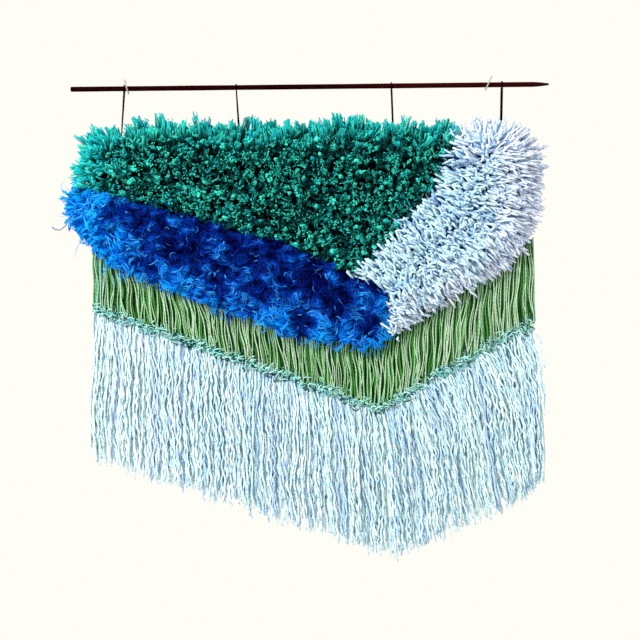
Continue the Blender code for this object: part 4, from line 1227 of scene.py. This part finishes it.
# Rod: a dowel with a blunt left end and a point at the right, turned about its axis
rodSet = {
    "radius": 3.175, "left": -302.0, "right": 308.0, "out": 11.0, "steps": 28, "runs": 60, "waver": 0.05,
    # Columns: distance in from the end, share of the full radius
    "leftEnd": [(0.0, 0.82), (0.25, 0.93), (0.6, 1.0)],
    "rightEnd": [(20.5, 1.0), (14.5, 0.89), (9.0, 0.74), (4.5, 0.56), (1.2, 0.42), (0.3, 0.36), (0.0, 0.25)],
    "dark": (0.007, 0.0005, 0.0004, 1), "light": (0.032, 0.003, 0.003, 1),
    # Redder and lighter towards the right end: where that starts and ends, in metres, and how much
    "reddening": (0.02, 0.16, 0.55),
}


def makeRod():
    sizes = rodSet
    left, right, full = sizes["left"], sizes["right"], sizes["radius"]
    middle = np.linspace(left + 8, right - 28, sizes["runs"])
    waver = 1 + waves(middle, middle * 0, 90.0, 71) * sizes["waver"] / full
    profile = [(left, 0.0)] + [(left + inward, full * share) for inward, share in sizes["leftEnd"]]
    profile += list(zip(middle, full * waver))
    profile += [(right - inward, full * share) for inward, share in sizes["rightEnd"]] + [(right, 0.0)]
    form = bmesh.new()
    outline = [form.verts.new((x, -sizes["out"], radius)) for x, radius in profile]
    lines = [form.edges.new(pair) for pair in zip(outline, outline[1:])]
    turn = {"cent": (0.0, -sizes["out"], 0.0), "axis": (1.0, 0.0, 0.0), "angle": math.tau}
    bmesh.ops.spin(form, geom=outline + lines, steps=sizes["steps"], use_merge=True, **turn)
    bmesh.ops.remove_doubles(form, verts=form.verts, dist=0.001)
    rod = pieceFromForm("rodTurned", form, 40.0)
    material, tree, shader = newMaterial("darkStainedWood", specular=0.0)
    place = objectPlace(tree)
    stretched = addNode(tree, "ShaderNodeMapping", {"Vector": place, "Scale": (0.06, 1.0, 1.0)}).outputs[0]
    grain = noiseValue(tree, stretched, Scale=1500.0, Detail=5.0, Roughness=0.6)
    patches = noiseValue(tree, place, Scale=30.0, Detail=2.0)
    lit = times(tree, smoothRange(tree, grain, 0.4, 0.7), maths(tree, "MULTIPLY_ADD", patches, 1.2, 0.1))
    start, end, more = sizes["reddening"]
    lit = maths(tree, "MULTIPLY_ADD", smoothRange(tree, partsOf(tree, place)[0], start, end), more, lit)
    coat(tree, shader, mixColours(tree, lit, sizes["dark"], sizes["light"]), grain, 0.15, 0.1)
    tree.links.new(maths(tree, "MULTIPLY_ADD", grain, 0.3, 0.5), shader.inputs["Roughness"])
    dress(rod, material, "rod_wood", "rod")
    print("rod turned")


makeRod()

# Hooks: bent wire that comes straight out of the wall, dips under the rod and turns up in front of it
hookSet = {
    "radius": 0.95, "sides": 12, "step": 0.6, "arcSteps": 12,
    # Columns of the bends: distance out from the wall, height, bend radius
    "bends": [(0.0, 0.6, 0.0), (5.0, 0.6, 2.2), (11.0, -7.5, 1.6), (17.0, 0.6, 2.5), (18.1, 10.6, 0.0)],
    # Columns: node, x at the rod's height, sideways lean for each millimetre of height
    "places": [("hook_left", -229.9, -0.257), ("hook_right", 229.8, 0.44)],
    "coat": (0.44, 0.39, 0.34, 1), "worn": (0.25, 0.21, 0.19, 1),
}


def roundedPath(corners, step):
    # The path through corners of (out, height, bend radius), each bend as an arc, in even steps
    path = []
    for index, (out, height, radius) in enumerate(corners):
        corner = Vector((out, height))
        if radius == 0.0:
            path.append(corner)
            continue
        before = (Vector(corners[index - 1][:2]) - corner).normalized()
        after = (Vector(corners[index + 1][:2]) - corner).normalized()
        half = before.angle(after) / 2
        centre = corner + (before + after).normalized() * (radius / math.sin(half))
        start = corner + before * (radius / math.tan(half)) - centre
        turn = start.angle_signed(corner + after * (radius / math.tan(half)) - centre)
        shares = np.linspace(0, 1, hookSet["arcSteps"] + 1)
        path += [centre + Matrix.Rotation(-turn * share, 2) @ start for share in shares]
    return evenSteps(np.array(path), step)


def makeHooks():
    sizes = hookSet
    out, height = roundedPath(sizes["bends"], sizes["step"]).T
    material, tree, shader = newMaterial("whiteCoatedWire")
    place = objectPlace(tree)
    wear = smoothRange(tree, noiseValue(tree, place, Scale=700.0, Detail=4.0), 0.58, 0.72)
    relief = noiseValue(tree, place, Scale=1200.0)
    coat(tree, shader, mixColours(tree, wear, sizes["coat"], sizes["worn"]), relief, 0.15, 0.1)
    tree.links.new(maths(tree, "MULTIPLY_ADD", wear, 0.25, 0.3), shader.inputs["Roughness"])
    for node, x, lean in sizes["places"]:
        path = np.stack([x + lean * height, -out, height], 1)
        radii = np.full((1, len(path)), sizes["radius"])
        radii[0, -2:] *= (0.92, 0.66)
        piece = sweepStrands(node.replace("hook_", "hookWire"), path[None], radii, sizes["sides"], 0.45)
        dress(piece, material, "hook_wire", node)
    print("hooks bent")


makeHooks()

# Ties: twisted cord looped over the rod, both legs sewn down on the canvas's back
tieSet = {
    "radius": 0.6, "clearance": 0.3, "sewnLength": 22.0, "aboveCanvas": 1.5, "crossing": 0.3, "arcSteps": 24,
    "step": 1.2, "plies": 2, "pitch": 3.4, "plyRadius": 0.75, "plyOffset": 0.31, "sides": 5,
    # Columns: node, x at the rod, x at the canvas's top edge, distance between the legs there
    "places": [
        ("tie_1", -233.6, -240.0, 0.4),
        ("tie_2", -91.0, -87.5, 1.4),
        ("tie_3", 107.0, 109.5, 0.8),
        ("tie_4", 248.0, 247.0, 1.5),
    ],
    "dark": (0.001, 0.001, 0.001, 1), "light": (0.006, 0.006, 0.007, 1),
}


def tieRoute(xRod, xCanvas, legSpacing):
    sizes = tieSet
    thick = sizes["clearance"] + sizes["radius"]
    turn = rodSet["radius"] + sizes["clearance"] + sizes["radius"]
    share = np.linspace(0, 1, sizes["arcSteps"] + 1)
    over = xRod + legSpacing * sizes["crossing"] * (share - 0.5)
    arc = np.stack([over, -rodSet["out"] + turn * np.cos(np.pi * share), turn * np.sin(np.pi * share)], 1)
    sewnFrom = canvasSet["top"] + sizes["aboveCanvas"]
    legs = []
    for side in (-0.5, 0.5):
        top = np.array([xCanvas + side * legSpacing, thick - canvasSet["hemBack"], sewnFrom])
        legs.append(np.stack([top, top - np.array([0.0, 0.0, sizes["sewnLength"]])]))
    return evenSteps(np.concatenate([legs[0][::-1], arc, legs[1]]), sizes["step"])


def makeTies():
    sizes = tieSet
    material, tree, shader = newMaterial("blackCord", 0.9, 0.0)
    fibre = noiseValue(tree, objectPlace(tree), Scale=1800.0, Detail=3.0)
    colour = mixColours(tree, smoothRange(tree, fibre, 0.4, 0.8), sizes["dark"], sizes["light"])
    coat(tree, shader, colour, fibre, 0.4, 0.1)
    for node, *place in sizes["places"]:
        route = tieRoute(*place)
        along = unit(np.gradient(route, axis=0))
        across = unit(np.cross(along, np.array([1.0, 0.0, 0.0])))
        beside = np.cross(along, across)
        turn = np.arange(len(route)) * sizes["step"] / sizes["pitch"] * math.tau
        angle = turn + np.arange(sizes["plies"])[:, None] * math.tau / sizes["plies"]
        spokes = across * np.cos(angle)[..., None] + beside * np.sin(angle)[..., None]
        paths = route + spokes * sizes["plyOffset"]
        radii = np.full(angle.shape, sizes["plyRadius"])
        piece = sweepStrands(node.replace("_", "Cord"), paths, radii, sizes["sides"], 0.3)
        dress(piece, material, "tie_cord", node)
        length = np.linalg.norm(np.diff(route, axis=0), axis=1).sum()
        print(node, "cord length in mm:", round(float(length), 1))


makeTies()


# Canvas: a flat sheet with a V-shaped lower edge, its hem folded to the back
def canvasCorners():
    sizes = canvasSet
    left, right, top, corner = (sizes[key] for key in ("left", "right", "top", "corner"))
    upperRight = right - sizes["taper"]
    hemLeft, hemPoint, hemRight = sizes["hem"]
    upper = [(left + corner, top), (upperRight - corner, top), (upperRight, top - corner)]
    lower = [(right, hemRight), (sizes["vX"], hemPoint), (left, hemLeft), (left, top - corner)]
    return np.array(upper + lower)


def canvasCuts(inset):
    # Planes along the canvas's edges, moved in by inset: a point on each, and the way out
    corners = canvasCorners()
    outward = unit(np.roll(corners, -1, axis=0) - corners) @ np.array([[0.0, 1.0], [-1.0, 0.0]])
    for corner, way in zip(corners, outward):
        yield Vector(onWall(corner - way * inset, 0.0)), Vector(onWall(way, 0.0))


def makeCanvas():
    sizes = canvasSet
    corners = canvasCorners()
    low, high = corners.min(0), corners.max(0)
    form = gridForm(low, high, sizes["cell"], sizes["front"])
    for inset, clear in ((0.0, True), (sizes["hemWidth"], False)):
        for place, outward in canvasCuts(inset):
            geom = form.verts[:] + form.edges[:] + form.faces[:]
            cut = {"plane_co": place, "plane_no": outward, "clear_outer": clear}
            bmesh.ops.bisect_plane(form, geom=geom, dist=0.001, **cut)
    inner = list(canvasCuts(sizes["hemWidth"]))
    for vertex in secondSide(form):
        inHem = any((vertex.co - place).dot(outward) > -0.01 for place, outward in inner)
        vertex.co.y = -(sizes["hemBack"] if inHem else sizes["innerBack"])
    for vertex, shift in zip(form.verts, waves(*placesOf(form.verts).T, 120.0, 81) * sizes["ripple"]):
        vertex.co.y += shift
    canvas = pieceFromForm("canvasSheet", form, 35.0)

    material, tree, shader = newMaterial("plainWeaveCanvas", 0.9)
    place = objectPlace(tree)
    rate = math.pi / (sizes["weavePitch"] * mm)
    warp, weft = (maths(tree, "SINE", times(tree, partsOf(tree, place)[axis], rate)) for axis in (0, 2))
    weave = maths(tree, "MULTIPLY_ADD", times(tree, warp, weft), 0.5, 0.5)
    slub = noiseValue(tree, place, Scale=260.0, Detail=4.0)
    shading = maths(tree, "MULTIPLY_ADD", slub, 0.6, times(tree, weave, 0.5))
    colour = mixColours(tree, shading, (0.42, 0.37, 0.29, 1), (0.80, 0.76, 0.66, 1))
    coat(tree, shader, colour, maths(tree, "MULTIPLY_ADD", slub, 0.4, weave), 0.7, 0.4)
    dress(canvas, material, "canvas_weave", "canvas")
    ends = np.roll(corners, -1, axis=0)
    area = abs((corners[:, 0] * ends[:, 1] - ends[:, 0] * corners[:, 1]).sum()) / 2 * mm * mm
    flat = tuple(float(side) for side in (high - low) * mm)
    print("canvas flat size:", flat, "area:", area)
    return canvas, flat, float(area)


canvas, canvasFlat, canvasArea = makeCanvas()

# Rows of yarn on the canvas's back, where the tufts and fringes are sewn through it
rowSet = {
    "seed": 91, "rowSpacing": 6.5, "barSpacing": 7.2, "barLength": 6.0, "radius": 0.85,
    "out": 4.45, "sunk": 0.45,
}


def makeBars(name, centres, directions, yarn, draw):
    count = len(centres)
    half = directions * (rowSet["barLength"] / 2 * draw.uniform(0.75, 1.1, count))[:, None]
    centres = centres + draw.normal(0, 0.35, centres.shape)
    out = rowSet["out"]
    bars = [onWall(centres + half * way, out - rowSet["sunk"] * (way == 0)) for way in (-1, 0, 1)]
    radii = np.array([0.7, 1.0, 0.7]) * rowSet["radius"] * draw.uniform(0.85, 1.15, (count, 1))
    shade, tone = draw.uniform(0.6, 1.0, count), draw.uniform(0.1, 0.6, count)
    sew(name, yarn[:2], np.stack(bars, 1), radii, 3, 0.5, shade, tone, 0.0)


def makeBackRows():
    draw = np.random.default_rng(rowSet["seed"])
    x = np.arange(canvasSet["left"] + 16, canvasSet["right"] - 22, rowSet["barSpacing"])
    z = np.arange(canvasSet["top"] - 16, canvasSet["hem"][1], -rowSet["rowSpacing"])
    points = np.stack(np.meshgrid(x, z), -1).reshape(-1, 2)
    aboveHem = points[:, 1] > alongV(canvasSet["hem"], points[:, 0]) + 18
    points = points[insidePolygon(points, canvasCorners()) & aboveHem]
    for name, outline, yarn in (
        ("tealRows", tealOutline, tealYarn),
        ("blueRows", blueOutline, blueYarn),
        ("lavenderRows", lavenderOutline, lavenderYarn),
    ):
        makeBars(name, points[insidePolygon(points, cornersOf(outline))], np.array([[1.0, 0.0]]), yarn, draw)
    for name, line, lift, yarn in (
        ("greenRow", loopSet["roots"], 0.0, greenYarn),
        ("paleRow", canvasSet["hem"], 7.0, paleYarn),
    ):
        height = alongV(line, x) + lift
        way = unit(np.stack([np.ones(len(x)), np.gradient(height, x)], 1))
        makeBars(name, np.stack([x, height], 1), way, yarn, draw)
    print("rows on the back made")


makeBackRows()

# Light and floor
lightSet = {
    "background": (1.0, 0.985, 0.915, 1), "fill": 0.80, "fillColour": (1.0, 0.98, 0.95, 1),
    "keyPlace": (-1300.0, -1700.0, 900.0), "keySize": 900.0, "keyPower": 62.0,
    "floorRadius": 950.0, "floorHeight": -1050.0, "floorY": -150.0,
}


def makeFloor():
    form = bmesh.new()
    bmesh.ops.create_circle(form, cap_ends=True, segments=96, radius=lightSet["floorRadius"])
    place = Vector((0.0, lightSet["floorY"], lightSet["floorHeight"]))
    bmesh.ops.translate(form, vec=place, verts=form.verts)
    floor = pieceFromForm("floor", form)
    material, tree, shader = newMaterial("paleFloor", 0.8)
    speckle = noiseValue(tree, objectPlace(tree), Scale=60.0, Detail=3.0)
    colour = mixColours(tree, speckle, (0.80, 0.79, 0.76, 1), (0.84, 0.83, 0.80, 1))
    tree.links.new(colour, shader.inputs["Base Color"])
    floor.data.materials.append(material)


def makeLights():
    world = bpy.data.worlds.new("studio")
    bpy.context.scene.world = world
    world.use_nodes = True
    tree = world.node_tree
    tree.nodes.clear()
    seen = addNode(tree, "ShaderNodeBackground", {"Color": lightSet["background"], "Strength": 1.0})
    fill = {"Color": lightSet["fillColour"], "Strength": lightSet["fill"]}
    lit = addNode(tree, "ShaderNodeBackground", fill)
    toCamera = addNode(tree, "ShaderNodeLightPath").outputs["Is Camera Ray"]
    shares = {0: toCamera, 1: lit.outputs[0], 2: seen.outputs[0]}
    addNode(tree, "ShaderNodeOutputWorld", {0: addNode(tree, "ShaderNodeMixShader", shares).outputs[0]})
    data = bpy.data.lights.new("keyLight", "AREA")
    data.shape = "DISK"
    data.size = lightSet["keySize"] * mm
    data.energy = lightSet["keyPower"]
    key = linkObject("keyLight", data)
    key.location = inMetres(lightSet["keyPlace"])
    aim = Vector(inMetres((cameraSet["aimX"], 0, cameraSet["aimZ"]))) - key.location
    key.rotation_euler = aim.to_track_quat("-Z", "Y").to_euler()
    bpy.context.scene.view_settings.view_transform = "Standard"


makeFloor()
makeLights()
print("floor and lights placed")

print("triangles:", triangleCount, "in all:", sum(triangleCount.values()))
